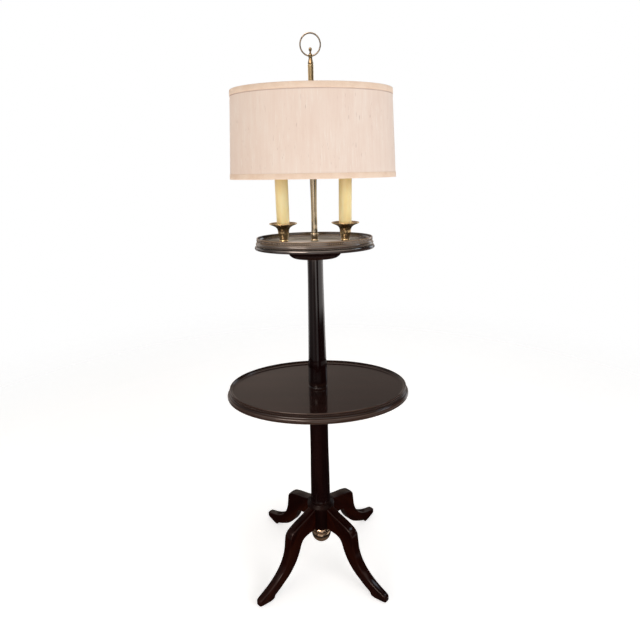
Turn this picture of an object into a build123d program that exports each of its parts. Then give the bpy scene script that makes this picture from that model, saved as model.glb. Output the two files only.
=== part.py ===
from build123d import *
import os

# Two-light floor lamp with an oval table and an oval tray.
# Millimetres, +Z up, origin on the floor at the lamp's axis, +X along the
# long axis of the ovals, -Y towards the front.

# ---------------------------------------------------------------- dimensions
# base: four sabre legs on a turned hub
LEG_T = 26.5            # leg thickness
TOE_T = 18.0            # thickness at the toe
TOE_R = 7.0             # rounding of the toe seen from above
TAPER_R = 150.0         # distance from the axis where a leg starts to narrow
HUB_R = 40.0            # turned hub block
HUB_Z0 = 131.0
HUB_Z1 = 215.0          # top of its sloped shoulder, where the column stands
DOWEL_R = 5.0           # two dowels hold each leg to the hub
DOWEL_L = 36.0
DOWEL_Z = (150.0, 178.0)

# columns
BORE_R = 10.0           # wiring bore through hub, columns and boards
TENON_R = 17.0          # spigot of the lower column in the hub
TENON_L = 18.0
LOWCOL_R0 = 29.8        # flared foot at the hub
LOWCOL_R1 = 25.7        # waist below the table
LOWCOL_Z1 = 550.0
UPCOL_Z0 = 588.0        # table surface
UPCOL_SEAT = 3.0        # depth of the housing in the table that takes the foot
UPCOL_FOOT = 26.2       # radius of the foot ring
UPCOL_Z1 = 943.5

# table: oval board inside a moulded rim
TABLE_A = 231.0         # board, half length
TABLE_B = 154.0         # board, half width
TABLE_Z0 = 570.0
TABLE_Z1 = 588.0        # table surface
RIM_Z0 = 567.0
RIM_Z1 = 595.5
RIM_LIP = 10.0          # width of the raised lip with its coved inside
RIM_NOSE = 17.0         # how far the lower bead stands out from the board
TFLANGE_A = 76.0
TFLANGE_B = 52.0

# tray: bullnose base, board and raised gallery
TRAY_Z0 = 969.0
TRAY_Z1 = 978.5
TRAY_Z2 = 986.5         # tray surface
TRAY_Z3 = 997.5         # top of the gallery
TRAY_BASE_A, TRAY_BASE_B = 149.0, 97.5
TRAY_BOARD_A, TRAY_BOARD_B = 146.0, 94.5
TRAY_GAL_A, TRAY_GAL_B = 134.5, 83.0   # inner foot of the coved gallery
TRAY_GAL_T = 9.0
TRFLANGE_Z0 = 943.5
TRFLANGE_A = 70.0
OVAL = 0.64             # width to length of the tray flange

# candles
CANDLE_X = 76.3         # each side of the axis
SLEEVE_OD = 31.75       # 1-1/4 in candle sleeve
SLEEVE_ID = 29.4
SLEEVE_Z0 = 1024.0
SLEEVE_Z1 = 1176.0
NIPPLE_OD = 9.6         # 1/8 IP lamp pipe
NIPPLE_ID = 6.6
NUT_AF = 14.0

# centre rod, shade pipe, finial
TIE_R = 4.75            # threaded tie rod
TIE_Z0, TIE_Z1 = 100.0, 1020.0
PIPE_R = 4.8
PIPE_Z0, PIPE_Z1 = 1150.0, 1376.0
RUN = 0.06              # running clearance on the pipe
SPIDER_Z = 1312.0       # underside of the spider's hub
RING_R = 22.3           # centre line of the finial's ring
RING_WIRE = 3.2
RING_Z = 1416.0

# shade: oval tapered drum
SHADE_Z0, SHADE_Z1 = 1136.0, 1326.0
SHADE_A0, SHADE_B0 = 196.2, 124.2     # bottom
SHADE_A1, SHADE_B1 = 183.0, 115.4     # top
SHADE_T = 1.4
TRIM_H = 12.0
TRIM_T = 0.8
WIRE_D = 3.2

os.makedirs("parts", exist_ok=True)
made = {}


def keep(name, shape):
    shape.label = name
    made[name] = shape
    export_step(shape, "parts/" + name + ".step")


def rev(points, x=0.0, y=0.0):
    """Solid of revolution from (radius, height) points."""
    wire = Polyline(*[(r, 0, z) for r, z in points], close=True)
    face = make_face(wire)
    return Pos(x, y, 0) * revolve(face, Axis.Z)


def cyl(r, z0, z1, x=0.0, y=0.0):
    return Pos(x, y, (z0 + z1) / 2) * Cylinder(r, z1 - z0)


def oval(a, b, z0, z1):
    return extrude(Pos(0, 0, z0) * Ellipse(a, b), z1 - z0)


def hexnut(af, bore, z0, z1, x=0.0, y=0.0):
    nut = extrude(Pos(x, y, z0) * RegularPolygon(af / 2, 6, major_radius=False), z1 - z0)
    return nut - cyl(bore, z0 - 1, z1 + 1, x, y)


def oval_sweep(a, b, section):
    """Sweeps a section drawn in (offset, height) round an oval."""
    path = Edge.make_ellipse(a, b)
    return sweep(Pos(a, 0, 0) * section, path=path)


def section(*parts):
    """Face in the X-Z plane from line and arc pieces."""
    return make_face(Curve() + list(parts))


# ---------------------------------------------------------------- legs
def leg_profile():
    """Side view of a leg, (distance from the axis, height)."""
    top = Spline((20, 0, 210.0), (41.5, 0, 201.5), (60, 0, 195.2), (80, 0, 190.0), (100, 0, 184.6), (116.0, 0, 179.0))
    knee = Spline((116.0, 0, 179.0), (129.4, 0, 170.8), (136.6, 0, 157.0), tangents=((1, 0, -0.38), (0.13, 0, -1)))
    outer = Spline((136.6, 0, 157.0), (138.3, 0, 145.0), (142.6, 0, 116.0), (149.8, 0, 94.5),
                   (158.6, 0, 79.5), (172.4, 0, 64.2), (190.8, 0, 50.0), (210.0, 0, 40.0),
                   (231.0, 0, 32.2), (243.0, 0, 28.4), tangents=((0.13, 0, -1), (1, 0, -0.3)))
    toe = Spline((243.0, 0, 28.4), (250.2, 0, 24.8), (253.8, 0, 19.0), (254.4, 0, 12.6), (252.4, 0, 8.6), (248.0, 0, 6.9),
                 tangents=((1, 0, -0.3), (-1, 0, -0.24)))
    sole = Line((248.0, 0, 6.9), (217.5, 0, 0.0))
    flat = Line((217.5, 0, 0.0), (206.0, 0, 0.0))
    heel = Spline((206.0, 0, 0.0), (202.4, 0, 3.4), (200.4, 0, 9.6))
    inner = Spline((200.4, 0, 9.6), (178.0, 0, 21.2), (158.0, 0, 33.8), (145.0, 0, 42.6), (131.5, 0, 54.2),
                   (119.4, 0, 67.4), (108.8, 0, 83.6), (100.6, 0, 100.6), (94.6, 0, 116.0), (86.0, 0, 127.4),
                   (73.0, 0, 131.8), (56.0, 0, 132.3), (20, 0, 132.0))
    back = Line((20, 0, 132.0), (20, 0, 210.0))
    return make_face(Curve() + [top, knee, outer, toe, sole, flat, heel, inner, back])


leg = extrude(leg_profile(), LEG_T / 2, dir=(0, 1, 0), both=True)
# in plan the leg narrows towards its toe, which is rounded off
toe_plan = make_face(Polyline((-60, -LEG_T / 2), (TAPER_R, -LEG_T / 2), (254.4, -TOE_T / 2), (254.4, TOE_T / 2),
                              (TAPER_R, LEG_T / 2), (-60, LEG_T / 2), close=True))
toe_plan = fillet(toe_plan.vertices().group_by(Axis.X)[-1], TOE_R)
leg = leg & extrude(Pos(0, 0, -5) * toe_plan, 240)
hub_cut = cyl(HUB_R, 100, 230)
leg = leg - hub_cut
for z in DOWEL_Z:
    leg = leg - Pos(HUB_R, 0, z) * Rot(0, 90, 0) * Cylinder(DOWEL_R, DOWEL_L)
for name, angle in (("leg_front_right", -45), ("leg_front_left", -135),
                    ("leg_rear_right", 45), ("leg_rear_left", 135)):
    keep(name, Rot(0, 0, angle) * leg)

dowels = []
for angle in (-45, -135, 45, 135):
    for z in DOWEL_Z:
        dowels.append(Rot(0, 0, angle) * Pos(HUB_R, 0, z) * Rot(0, 90, 0) * Cylinder(DOWEL_R, DOWEL_L))
keep("leg_dowels", Compound(children=dowels))

# ---------------------------------------------------------------- hub
hub = rev([(0, HUB_Z0), (HUB_R - 2.0, HUB_Z0), (HUB_R - 0.6, HUB_Z0 + 0.6), (HUB_R, HUB_Z0 + 2.0), (HUB_R, 202.4), (39.2, 204.6), (37.4, 206.8),
           (35.2, 208.8), (33.2, 210.6), (31.8, 212.2), (31.0, 213.8), (30.8, HUB_Z1), (0, HUB_Z1)])
hub = hub - cyl(BORE_R, HUB_Z0 + 12, HUB_Z1 + 1) - cyl(TIE_R + 0.15, HUB_Z0 - 1, HUB_Z0 + 13)
hub = hub - cyl(TENON_R + 0.1, HUB_Z1 - TENON_L - 0.5, HUB_Z1 + 1)
for d in dowels:
    hub = hub - d
keep("hub", hub)

# nut and washer under the hub, hidden by the brass bun
keep("tie_washer", cyl(15.0, HUB_Z0 - 2, HUB_Z0) - cyl(TIE_R + 0.1, HUB_Z0 - 3, HUB_Z0 + 1))
keep("tie_nut", hexnut(NUT_AF, TIE_R, HUB_Z0 - 10, HUB_Z0 - 2))

bun = rev([(0, 64.5), (4, 64.7), (8, 65.4), (12, 66.7), (16, 68.8), (19.8, 71.7), (23.0, 75.2), (25.7, 79.4),
           (27.6, 84.0), (28.8, 89.0), (29.2, 94.0), (28.8, 98.6), (27.8, 102.2), (26.4, 104.8),
           (26.2, 105.8), (27.8, 106.6), (30.2, 108.2), (31.8, 110.8), (32.4, 114.2), (32.0, 117.6), (30.8, 120.4), (29.0, 122.2),
           (27.6, 123.4), (27.2, 125.0), (27.6, 127.0), (28.8, 128.6), (29.6, 129.4), (29.8, 130.2), (29.4, 130.9),
           (17.0, 130.9), (17.0, 119.0), (TIE_R, 119.0), (TIE_R, 98.0), (0, 98.0)])
keep("bun_finial", bun)

# ---------------------------------------------------------------- tie rod
keep("tie_rod", cyl(TIE_R, TIE_Z0, TIE_Z1))

# ---------------------------------------------------------------- lower column
lowcol = rev([(BORE_R, HUB_Z1 - TENON_L), (TENON_R, HUB_Z1 - TENON_L), (TENON_R, HUB_Z1), (LOWCOL_R0 - 0.8, HUB_Z1),
              (LOWCOL_R0, HUB_Z1 + 1.0), (LOWCOL_R0, HUB_Z1 + 3.0), (29.2, 222.0), (28.6, 230.0), (28.3, 240.0), (28.1, 258.0),
              (27.7, 290.0), (27.2, 330.0), (26.4, 370.0), (25.9, 404.0), (LOWCOL_R1, 450.0), (25.8, 510.0), (26.3, 535.0),
              (27.2, LOWCOL_Z1), (BORE_R, LOWCOL_Z1)])
BUSH_Z = 242.0
lowcol = lowcol - Pos(0, 20, BUSH_Z) * Rot(-90, 0, 0) * Cylinder(5.5, 24)
keep("lower_column", lowcol)

# bushing where the supply cord leaves the column, at the rear
bush = Pos(0, 20.6, BUSH_Z) * Rot(-90, 0, 0) * Cylinder(5.5, 19.0)
flange = Pos(0, 30.0, BUSH_Z) * Rot(-90, 0, 0) * Cylinder(8.0, 2.6)
bush = bush + flange
bush = fillet([e for e in bush.edges().filter_by(GeomType.CIRCLE) if e.center().Y > 30.5 and e.radius > 7], 1.2)
bush = bush - Pos(0, 20, BUSH_Z) * Rot(-90, 0, 0) * Cylinder(3.4, 40)
keep("cord_bushing", bush)

# ---------------------------------------------------------------- table
tfl = scale(rev([(0, LOWCOL_Z1), (44.0, LOWCOL_Z1), (52.0, LOWCOL_Z1 + 1.4), (60.0, LOWCOL_Z1 + 4.6),
                 (66.0, LOWCOL_Z1 + 9.0), (69.5, LOWCOL_Z1 + 13.0), (TFLANGE_A, LOWCOL_Z1 + 14.5),
                 (TFLANGE_A, TABLE_Z0), (0, TABLE_Z0)]), by=(1, TFLANGE_B / TFLANGE_A, 1))
tfl = tfl - cyl(BORE_R, LOWCOL_Z1 - 1, TABLE_Z0 + 1)
board = oval(TABLE_A, TABLE_B, TABLE_Z0, TABLE_Z1) - cyl(BORE_R, TABLE_Z0 - 1, TABLE_Z1 + 1)
board = board - cyl(UPCOL_FOOT + 0.25, TABLE_Z1 - UPCOL_SEAT, TABLE_Z1 + 1)


def wood_screw(x, y, z0, z1):
    """Countersunk wood screw, head down."""
    return rev([(0, z0), (4.2, z0), (4.2, z0 + 0.4), (2.1, z0 + 2.8), (2.1, z1 - 5), (0.3, z1), (0, z1)], x, y)


tscrews = [wood_screw(sx * 36, sy * 18, LOWCOL_Z1 + 0.6, LOWCOL_Z1 + 32) for sx in (-1, 1) for sy in (-1, 1)]
for sx in (-1, 1):
    for sy in (-1, 1):
        hole = wood_screw(sx * 36, sy * 18, LOWCOL_Z1 + 0.6, LOWCOL_Z1 + 32)
        mouth = cyl(4.2, LOWCOL_Z1 - 1, LOWCOL_Z1 + 0.6, sx * 36, sy * 18)
        tfl = tfl - hole - mouth
        board = board - hole
keep("table_flange", tfl)
keep("table_board", board)
keep("table_screws", Compound(children=tscrews))

rim_face = section(
    Line((0.05, 0, RIM_Z0), (0.05, 0, TABLE_Z1 + 0.4)),
    ThreePointArc((0.05, 0, TABLE_Z1 + 0.4), (4.4, 0, TABLE_Z1 + 2.4), (6.3, 0, RIM_Z1 - 0.9)),
    ThreePointArc((6.3, 0, RIM_Z1 - 0.9), (6.56, 0, RIM_Z1 - 0.26), (7.2, 0, RIM_Z1)),
    Line((7.2, 0, RIM_Z1), (RIM_LIP - 2.2, 0, RIM_Z1)),
    ThreePointArc((RIM_LIP - 2.2, 0, RIM_Z1), (RIM_LIP - 0.64, 0, RIM_Z1 - 0.64), (RIM_LIP, 0, RIM_Z1 - 2.2)),
    Line((RIM_LIP, 0, RIM_Z1 - 2.2), (RIM_LIP, 0, RIM_Z0 + 15.6)),
    ThreePointArc((RIM_LIP, 0, RIM_Z0 + 15.6), (RIM_LIP + 0.5, 0, RIM_Z0 + 14.5), (RIM_LIP + 1.6, 0, RIM_Z0 + 14.0)),
    Line((RIM_LIP + 1.6, 0, RIM_Z0 + 14.0), (12.0, 0, RIM_Z0 + 14.0)),
    ThreePointArc((12.0, 0, RIM_Z0 + 14.0), (RIM_NOSE, 0, RIM_Z0 + 7.0), (12.0, 0, RIM_Z0)),
    Line((12.0, 0, RIM_Z0), (0.05, 0, RIM_Z0)),
)
keep("table_rim", oval_sweep(TABLE_A, TABLE_B, rim_face))

# ---------------------------------------------------------------- upper column
Z = UPCOL_Z0
F = UPCOL_FOOT
# foot ring, plain lower length, step in, tapered shaft
keep("upper_column", rev([(BORE_R, Z - UPCOL_SEAT), (F, Z - UPCOL_SEAT), (F, Z + 3.4), (F - 0.4, Z + 5.0), (F - 1.2, Z + 6.2), (F - 1.2, Z + 7.0),
                          (25.7, Z + 7.8), (25.8, Z + 9.0), (25.7, 632.0), (25.6, 652.0), (25.2, 660.0), (24.5, 665.6), (24.0, 670.0),
                          (23.3, 700.0), (22.5, 735.0), (21.85, 768.0), (21.25, 801.0), (20.7, 834.0), (20.1, 866.0), (19.75, 897.0),
                          (19.6, 920.0), (19.6, UPCOL_Z1), (BORE_R, UPCOL_Z1)]))

# ---------------------------------------------------------------- tray
trfl = scale(rev([(0, TRFLANGE_Z0), (46.0, TRFLANGE_Z0), (52.0, TRFLANGE_Z0 + 1.0), (57.8, TRFLANGE_Z0 + 3.6),
                  (62.6, TRFLANGE_Z0 + 7.6), (66.0, TRFLANGE_Z0 + 12.6), (68.4, TRFLANGE_Z0 + 18.4),
                  (TRFLANGE_A, TRFLANGE_Z0 + 21.5), (TRFLANGE_A, TRAY_Z0), (0, TRAY_Z0)]), by=(1, OVAL, 1))
trfl = trfl - cyl(BORE_R, TRFLANGE_Z0 - 1, TRAY_Z0 + 1)
base = oval(TRAY_BASE_A, TRAY_BASE_B, TRAY_Z0, TRAY_Z1)
base = fillet([e for e in base.edges() if e.length > 400], 4.0)
base = base - cyl(BORE_R, TRAY_Z0 - 1, TRAY_Z1 + 1)
# wiring channel between the two candles
base = base - extrude(Pos(0, 0, TRAY_Z0 + 2.0) * SlotOverall(2 * (CANDLE_X + 13), 24), TRAY_Z1)
trscrews = []
for sx in (-1, 1):
    for sy in (-1, 1):
        trscrews.append(wood_screw(sx * 30, sy * 18.5, TRFLANGE_Z0 + 0.6, TRFLANGE_Z0 + 32))
        trfl = trfl - wood_screw(sx * 30, sy * 18.5, TRFLANGE_Z0 + 0.6, TRFLANGE_Z0 + 32)
        trfl = trfl - cyl(4.2, TRFLANGE_Z0 - 1, TRFLANGE_Z0 + 0.6, sx * 30, sy * 18.5)
        base = base - wood_screw(sx * 30, sy * 18.5, TRFLANGE_Z0 + 0.6, TRFLANGE_Z0 + 32)
keep("tray_flange", trfl)
keep("tray_base", base)
keep("tray_screws", Compound(children=trscrews))

tboard = oval(TRAY_BOARD_A, TRAY_BOARD_B, TRAY_Z1, TRAY_Z2)
tboard = fillet([e for e in tboard.edges() if e.length > 400], 3.0)
tboard = tboard - cyl(TIE_R + 0.05, TRAY_Z1 - 1, TRAY_Z2 + 1)
for sx in (-1, 1):
    tboard = tboard - cyl(NIPPLE_OD / 2 + 0.05, TRAY_Z1 - 1, TRAY_Z2 + 1, sx * CANDLE_X)
keep("tray_board", tboard)

gal_face = section(
    Line((0, 0, TRAY_Z2), (0, 0, TRAY_Z2 + 0.5)),
    ThreePointArc((0, 0, TRAY_Z2 + 0.5), (3.9, 0, TRAY_Z2 + 3.3), (5.6, 0, TRAY_Z3 - 1.5)),
    ThreePointArc((5.6, 0, TRAY_Z3 - 1.5), (6.02, 0, TRAY_Z3 - 0.44), (7.1, 0, TRAY_Z3)),
    Line((7.1, 0, TRAY_Z3), (TRAY_GAL_T - 1.6, 0, TRAY_Z3)),
    ThreePointArc((TRAY_GAL_T - 1.6, 0, TRAY_Z3), (TRAY_GAL_T - 0.47, 0, TRAY_Z3 - 0.47), (TRAY_GAL_T, 0, TRAY_Z3 - 1.6)),
    Line((TRAY_GAL_T, 0, TRAY_Z3 - 1.6), (TRAY_GAL_T, 0, TRAY_Z2)),
    Line((TRAY_GAL_T, 0, TRAY_Z2), (0, 0, TRAY_Z2)),
)
keep("tray_gallery", oval_sweep(TRAY_GAL_A, TRAY_GAL_B, gal_face))

# ---------------------------------------------------------------- candles
Z = TRAY_Z2
CUP = [(NIPPLE_OD / 2, Z), (10.2, Z), (11.2, Z + 0.8), (11.6, Z + 2.2), (11.2, Z + 3.6), (10.5, Z + 4.4),
       (10.6, Z + 6.0), (11.3, Z + 9.0), (12.2, Z + 13.0), (13.1, Z + 17.0), (13.6, Z + 20.5), (13.7, Z + 23.5),
       (13.9, Z + 26.5), (14.6, Z + 29.5), (16.0, Z + 32.5), (18.2, Z + 35.0), (21.4, Z + 37.2), (25.4, Z + 39.2),
       (29.4, Z + 40.9), (32.6, Z + 42.2), (34.0, Z + 43.2), (34.2, Z + 44.2), (33.6, Z + 44.9),
       (32.0, Z + 44.6), (28.6, Z + 43.0), (24.6, Z + 41.2), (20.6, Z + 39.2), (18.0, Z + 37.9), (16.4, Z + 37.5),
       (NIPPLE_OD / 2, Z + 37.5)]
for name, sx in (("left", -1), ("right", 1)):
    x = sx * CANDLE_X
    keep("candle_cup_" + name, rev(CUP, x))
    keep("candle_sleeve_" + name, cyl(SLEEVE_OD / 2, SLEEVE_Z0, SLEEVE_Z1, x) - cyl(SLEEVE_ID / 2, SLEEVE_Z0 - 1, SLEEVE_Z1 + 1, x))
    keep("socket_nipple_" + name, cyl(NIPPLE_OD / 2, TRAY_Z0 + 5.5, 1134.0, x) - cyl(NIPPLE_ID / 2, TRAY_Z0, 1140, x))
    keep("socket_" + name, rev([(NIPPLE_OD / 2, 1128.0), (13.6, 1128.0), (14.6, 1129.0), (14.6, 1174.0), (14.0, 1175.0),
                               (13.3, 1175.0), (13.3, 1147.0), (3.0, 1147.0), (3.0, 1134.0), (NIPPLE_OD / 2, 1134.0)], x))
    keep("bulb_cap_" + name, rev([(0, 1147.6), (4.2, 1147.6), (4.8, 1148.4), (5.6, 1149.6), (11.0, 1151.0), (12.3, 1152.2),
                                 (13.15, 1153.4), (13.15, 1174.6), (12.7, 1175.4), (12.7, 1177.0), (0, 1177.0)], x))
    keep("bulb_glass_" + name, rev([(0, 1177.0), (12.4, 1177.0), (12.7, 1179.0), (13.6, 1184.0), (15.2, 1190.0), (16.6, 1197.0),
                                   (17.4, 1204.5), (17.4, 1212.0), (16.5, 1220.0), (14.8, 1228.0), (12.4, 1236.0),
                                   (9.4, 1243.5), (6.2, 1249.0), (3.2, 1252.4), (1.0, 1253.8), (0, 1254.0)], x))
nuts = [hexnut(NUT_AF, NIPPLE_OD / 2, TRAY_Z1 - 4.0, TRAY_Z1, sx * CANDLE_X) for sx in (-1, 1)]
keep("socket_nuts", Compound(children=nuts))

# ---------------------------------------------------------------- centre rod
rod_base = rev([(TIE_R, Z), (9.6, Z), (10.4, Z + 0.8), (10.4, Z + 3.0), (9.6, Z + 4.0), (8.8, Z + 5.0), (8.4, Z + 7.5),
                (8.3, Z + 10.5), (8.5, Z + 13.2), (9.2, Z + 14.6), (9.6, Z + 16.4), (9.3, Z + 18.4), (8.5, Z + 19.6), (TIE_R, Z + 19.6)])
keep("rod_base", rod_base)
Z = Z + 19.6
rod = rev([(0, TIE_Z1), (TIE_R, TIE_Z1), (TIE_R, Z), (7.9, Z), (8.1, Z + 1.5), (7.8, Z + 6.0), (7.5, 1024.0), (7.2, 1040.0), (7.1, 1055.0),
           (7.2, 1075.0), (7.5, 1095.0), (7.9, 1115.0), (8.3, 1135.0), (8.6, 1150.0), (8.9, 1160.0), (9.4, 1166.0),
           (9.5, 1169.0), (8.6, 1171.0), (6.8, 1172.0), (PIPE_R, 1172.0), (PIPE_R, PIPE_Z0), (0, PIPE_Z0)])
keep("centre_rod", rod)
keep("shade_pipe", cyl(PIPE_R, PIPE_Z0, PIPE_Z1))
# tube that carries the shade on the pipe
keep("shade_rest_tube", rev([(PIPE_R + 0.05, 1172.0), (5.6, 1172.0), (5.6, SPIDER_Z - 6.2), (7.4, SPIDER_Z - 4.2),
                             (8.2, SPIDER_Z - 2.6), (8.2, SPIDER_Z - 0.2), (PIPE_R + 0.05, SPIDER_Z - 0.2)]))

# ---------------------------------------------------------------- shade
def drum(z0, z1, out):
    """Solid tapered oval between two heights, at a distance from the shade's outer face."""
    def at(z):
        k = (z - SHADE_Z0) / (SHADE_Z1 - SHADE_Z0)
        return (SHADE_A0 + (SHADE_A1 - SHADE_A0) * k + out, SHADE_B0 + (SHADE_B1 - SHADE_B0) * k + out)
    return loft([Pos(0, 0, z0) * Ellipse(*at(z0)), Pos(0, 0, z1) * Ellipse(*at(z1))], ruled=True)


def wall(z0, z1, inner, outer):
    return drum(z0, z1, outer) - drum(z0 - 1, z1 + 1, inner)


keep("shade_skin", wall(SHADE_Z0, SHADE_Z1, -SHADE_T, 0.0))
keep("shade_trim_top", wall(SHADE_Z1 - TRIM_H, SHADE_Z1, 0.03, TRIM_T))
keep("shade_trim_bottom", wall(SHADE_Z0, SHADE_Z0 + TRIM_H, 0.03, TRIM_T))


def wire_ring(z, inset):
    k = (z - SHADE_Z0) / (SHADE_Z1 - SHADE_Z0)
    a = SHADE_A0 + (SHADE_A1 - SHADE_A0) * k - inset
    b = SHADE_B0 + (SHADE_B1 - SHADE_B0) * k - inset
    return a, b, Pos(0, 0, z) * sweep(Pos(a, 0, 0) * Rot(90, 0, 0) * Circle(WIRE_D / 2), path=Edge.make_ellipse(a, b))


INSET = SHADE_T + WIRE_D / 2 + 0.15
a, b, bottom_ring = wire_ring(SHADE_Z0 + 2.4, INSET)
keep("shade_ring_bottom", bottom_ring)
RZ = SHADE_Z1 - 2.4
a, b, top_ring = wire_ring(RZ, INSET)
keep("shade_ring_top", top_ring)
spider = cyl(14.0, SPIDER_Z, SPIDER_Z + 2.4)
AZ = SPIDER_Z + 1.2
for ux, uy, reach in ((1, 0, a), (-1, 0, a), (0, 1, b), (0, -1, b)):
    end = reach - WIRE_D / 2 - 0.05
    line = FilletPolyline((ux * 10, uy * 10, AZ), (ux * (reach - 26), uy * (reach - 26), AZ),
                          (ux * (reach - 12), uy * (reach - 12), RZ), (ux * end, uy * end, RZ), radius=8)
    spider = spider + sweep(Plane(origin=(ux * 10, uy * 10, AZ), z_dir=(ux, uy, 0)) * Circle(1.6), path=line)
spider = spider - cyl(PIPE_R + RUN, SPIDER_Z - 1, SPIDER_Z + 4)
keep("shade_spider", spider)

# ---------------------------------------------------------------- finial
FZ = SPIDER_Z + 2.4 + 0.2
stem = rev([(PIPE_R + RUN, FZ), (7.6, FZ), (8.0, FZ + 0.8), (8.0, FZ + 2.6), (7.0, FZ + 3.6), (6.3, FZ + 5.0),
            (6.2, 1330.0), (6.2, 1345.0), (6.25, 1360.0), (6.4, 1372.0), (6.5, 1374.6), (6.5, 1376.6), (PIPE_R + RUN, 1376.6)])
keep("finial_stem", stem)
tip = rev([(0, 1376.6), (5.2, 1376.6), (5.2, 1377.6), (6.0, 1378.4), (6.2, 1379.6), (5.9, 1380.8), (5.5, 1382.4), (5.0, 1384.6), (4.4, 1387.0),
           (3.9, 1389.4), (3.8, 1390.2), (4.4, 1391.4), (4.7, 1393.0), (4.7, 1394.6), (4.2, 1396.4), (3.1, 1397.8), (2.3, 1399.0),
           (1.9, 1400.6), (1.7, 1402.4), (2.2, 1403.2), (3.0, 1404.0), (3.5, 1405.4), (3.6, 1406.6), (3.4, 1408.0), (2.6, 1409.4),
           (1.4, 1410.2), (0, 1410.4)])
ring = Pos(0, 0, RING_Z) * Rot(90, 0, 0) * Torus(RING_R, RING_WIRE / 2)
tip = tip - Pos(0, 0, RING_Z) * Rot(90, 0, 0) * Torus(RING_R, RING_WIRE / 2 + 0.02)
keep("finial_tip", tip)
keep("finial_ring", ring)

everything = Compound(children=list(made.values()))
box = everything.bounding_box()
print(len(made), "nodes", box.min, box.max)
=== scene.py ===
import math

import bpy
import bmesh
import numpy as np
from mathutils import Matrix, Vector


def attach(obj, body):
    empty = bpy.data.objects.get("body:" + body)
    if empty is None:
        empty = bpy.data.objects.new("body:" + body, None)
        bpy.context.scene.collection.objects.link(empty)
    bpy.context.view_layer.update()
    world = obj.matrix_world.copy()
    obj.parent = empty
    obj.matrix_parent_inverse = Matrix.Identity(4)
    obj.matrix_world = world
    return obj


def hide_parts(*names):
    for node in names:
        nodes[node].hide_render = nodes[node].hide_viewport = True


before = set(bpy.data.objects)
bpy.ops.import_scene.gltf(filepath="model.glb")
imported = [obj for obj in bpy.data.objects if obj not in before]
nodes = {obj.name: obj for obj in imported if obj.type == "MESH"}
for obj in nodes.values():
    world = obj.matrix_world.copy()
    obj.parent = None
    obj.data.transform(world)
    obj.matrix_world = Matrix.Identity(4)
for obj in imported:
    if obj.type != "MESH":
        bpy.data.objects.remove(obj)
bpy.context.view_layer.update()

scene = bpy.context.scene

MM = 0.001

# ------------------------------------------------------------------ camera
CAM_F = 460.0 / 640.0 * 36.0
CAM_PITCH = math.radians(18.19)
CAM_YAW = math.radians(1.03)
CAM_ROLL = math.radians(1.0)
cam_data = bpy.data.cameras.new("camera")
cam_data.sensor_width = 36.0
cam_data.lens = CAM_F
cam_data.shift_x = -4.7 / 640.0
cam_data.clip_start = 0.02
cam_data.clip_end = 100.0
cam = bpy.data.objects.new("camera", cam_data)
scene.collection.objects.link(cam)
cam.matrix_world = (Matrix.Translation((0.0008, -1.1481, 1.1563))
                    @ Matrix.Rotation(-CAM_YAW, 4, "Z")
                    @ Matrix.Rotation(math.pi / 2 - CAM_PITCH, 4, "X")
                    @ Matrix.Rotation(-CAM_ROLL, 4, "Z"))
scene.camera = cam
scene.view_settings.view_transform = "Standard"
scene.view_settings.look = "None"

# ------------------------------------------------------------------ curves


def cubic(points, step, t0=None, t1=None):
    """Points about one step apart on a cubic through the given points."""
    p = np.array(points, float)
    n = len(p)
    if n == 2:
        k = max(1, int(math.ceil(np.linalg.norm(p[1] - p[0]) / step)))
        return [tuple(p[0] + (p[1] - p[0]) * i / k) for i in range(k + 1)]
    s = np.concatenate([[0], np.cumsum(np.linalg.norm(np.diff(p, axis=0), axis=1))])
    h = np.diff(s)
    a = np.zeros((n, n))
    b = np.zeros((n, p.shape[1]))
    for i in range(1, n - 1):
        a[i, i - 1], a[i, i], a[i, i + 1] = h[i - 1], 2 * (h[i - 1] + h[i]), h[i]
        b[i] = 6 * ((p[i + 1] - p[i]) / h[i] - (p[i] - p[i - 1]) / h[i - 1])
    if t0 is None:
        a[0, 0] = 1
    else:
        d = np.array(t0, float) / np.linalg.norm(t0)
        a[0, 0], a[0, 1] = 2 * h[0], h[0]
        b[0] = 6 * ((p[1] - p[0]) / h[0] - d)
    if t1 is None:
        a[-1, -1] = 1
    else:
        d = np.array(t1, float) / np.linalg.norm(t1)
        a[-1, -1], a[-1, -2] = 2 * h[-1], h[-1]
        b[-1] = 6 * (d - (p[-1] - p[-2]) / h[-1])
    m = np.linalg.solve(a, b)
    out = []
    for i in range(n - 1):
        k = max(1, int(math.ceil(h[i] / step)))
        for j in range(k):
            x = h[i] * j / k
            y = h[i] - x
            out.append(tuple((m[i] * y ** 3 + m[i + 1] * x ** 3) / (6 * h[i])
                             + (p[i] / h[i] - m[i] * h[i] / 6) * y
                             + (p[i + 1] / h[i] - m[i + 1] * h[i] / 6) * x))
    out.append(tuple(p[-1]))
    return out


def trim(line, d, at_end):
    """Takes a length d off one end of a polyline."""
    q = list(line[::-1]) if at_end else list(line)
    left = d
    while len(q) > 2:
        g = math.dist(q[0], q[1])
        if g > left:
            break
        left -= g
        q.pop(0)
    g = math.dist(q[0], q[1])
    k = min(left / g, 0.9) if g > 0 else 0
    q[0] = tuple(np.array(q[0]) * (1 - k) + np.array(q[1]) * k)
    return q[::-1] if at_end else q


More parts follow.
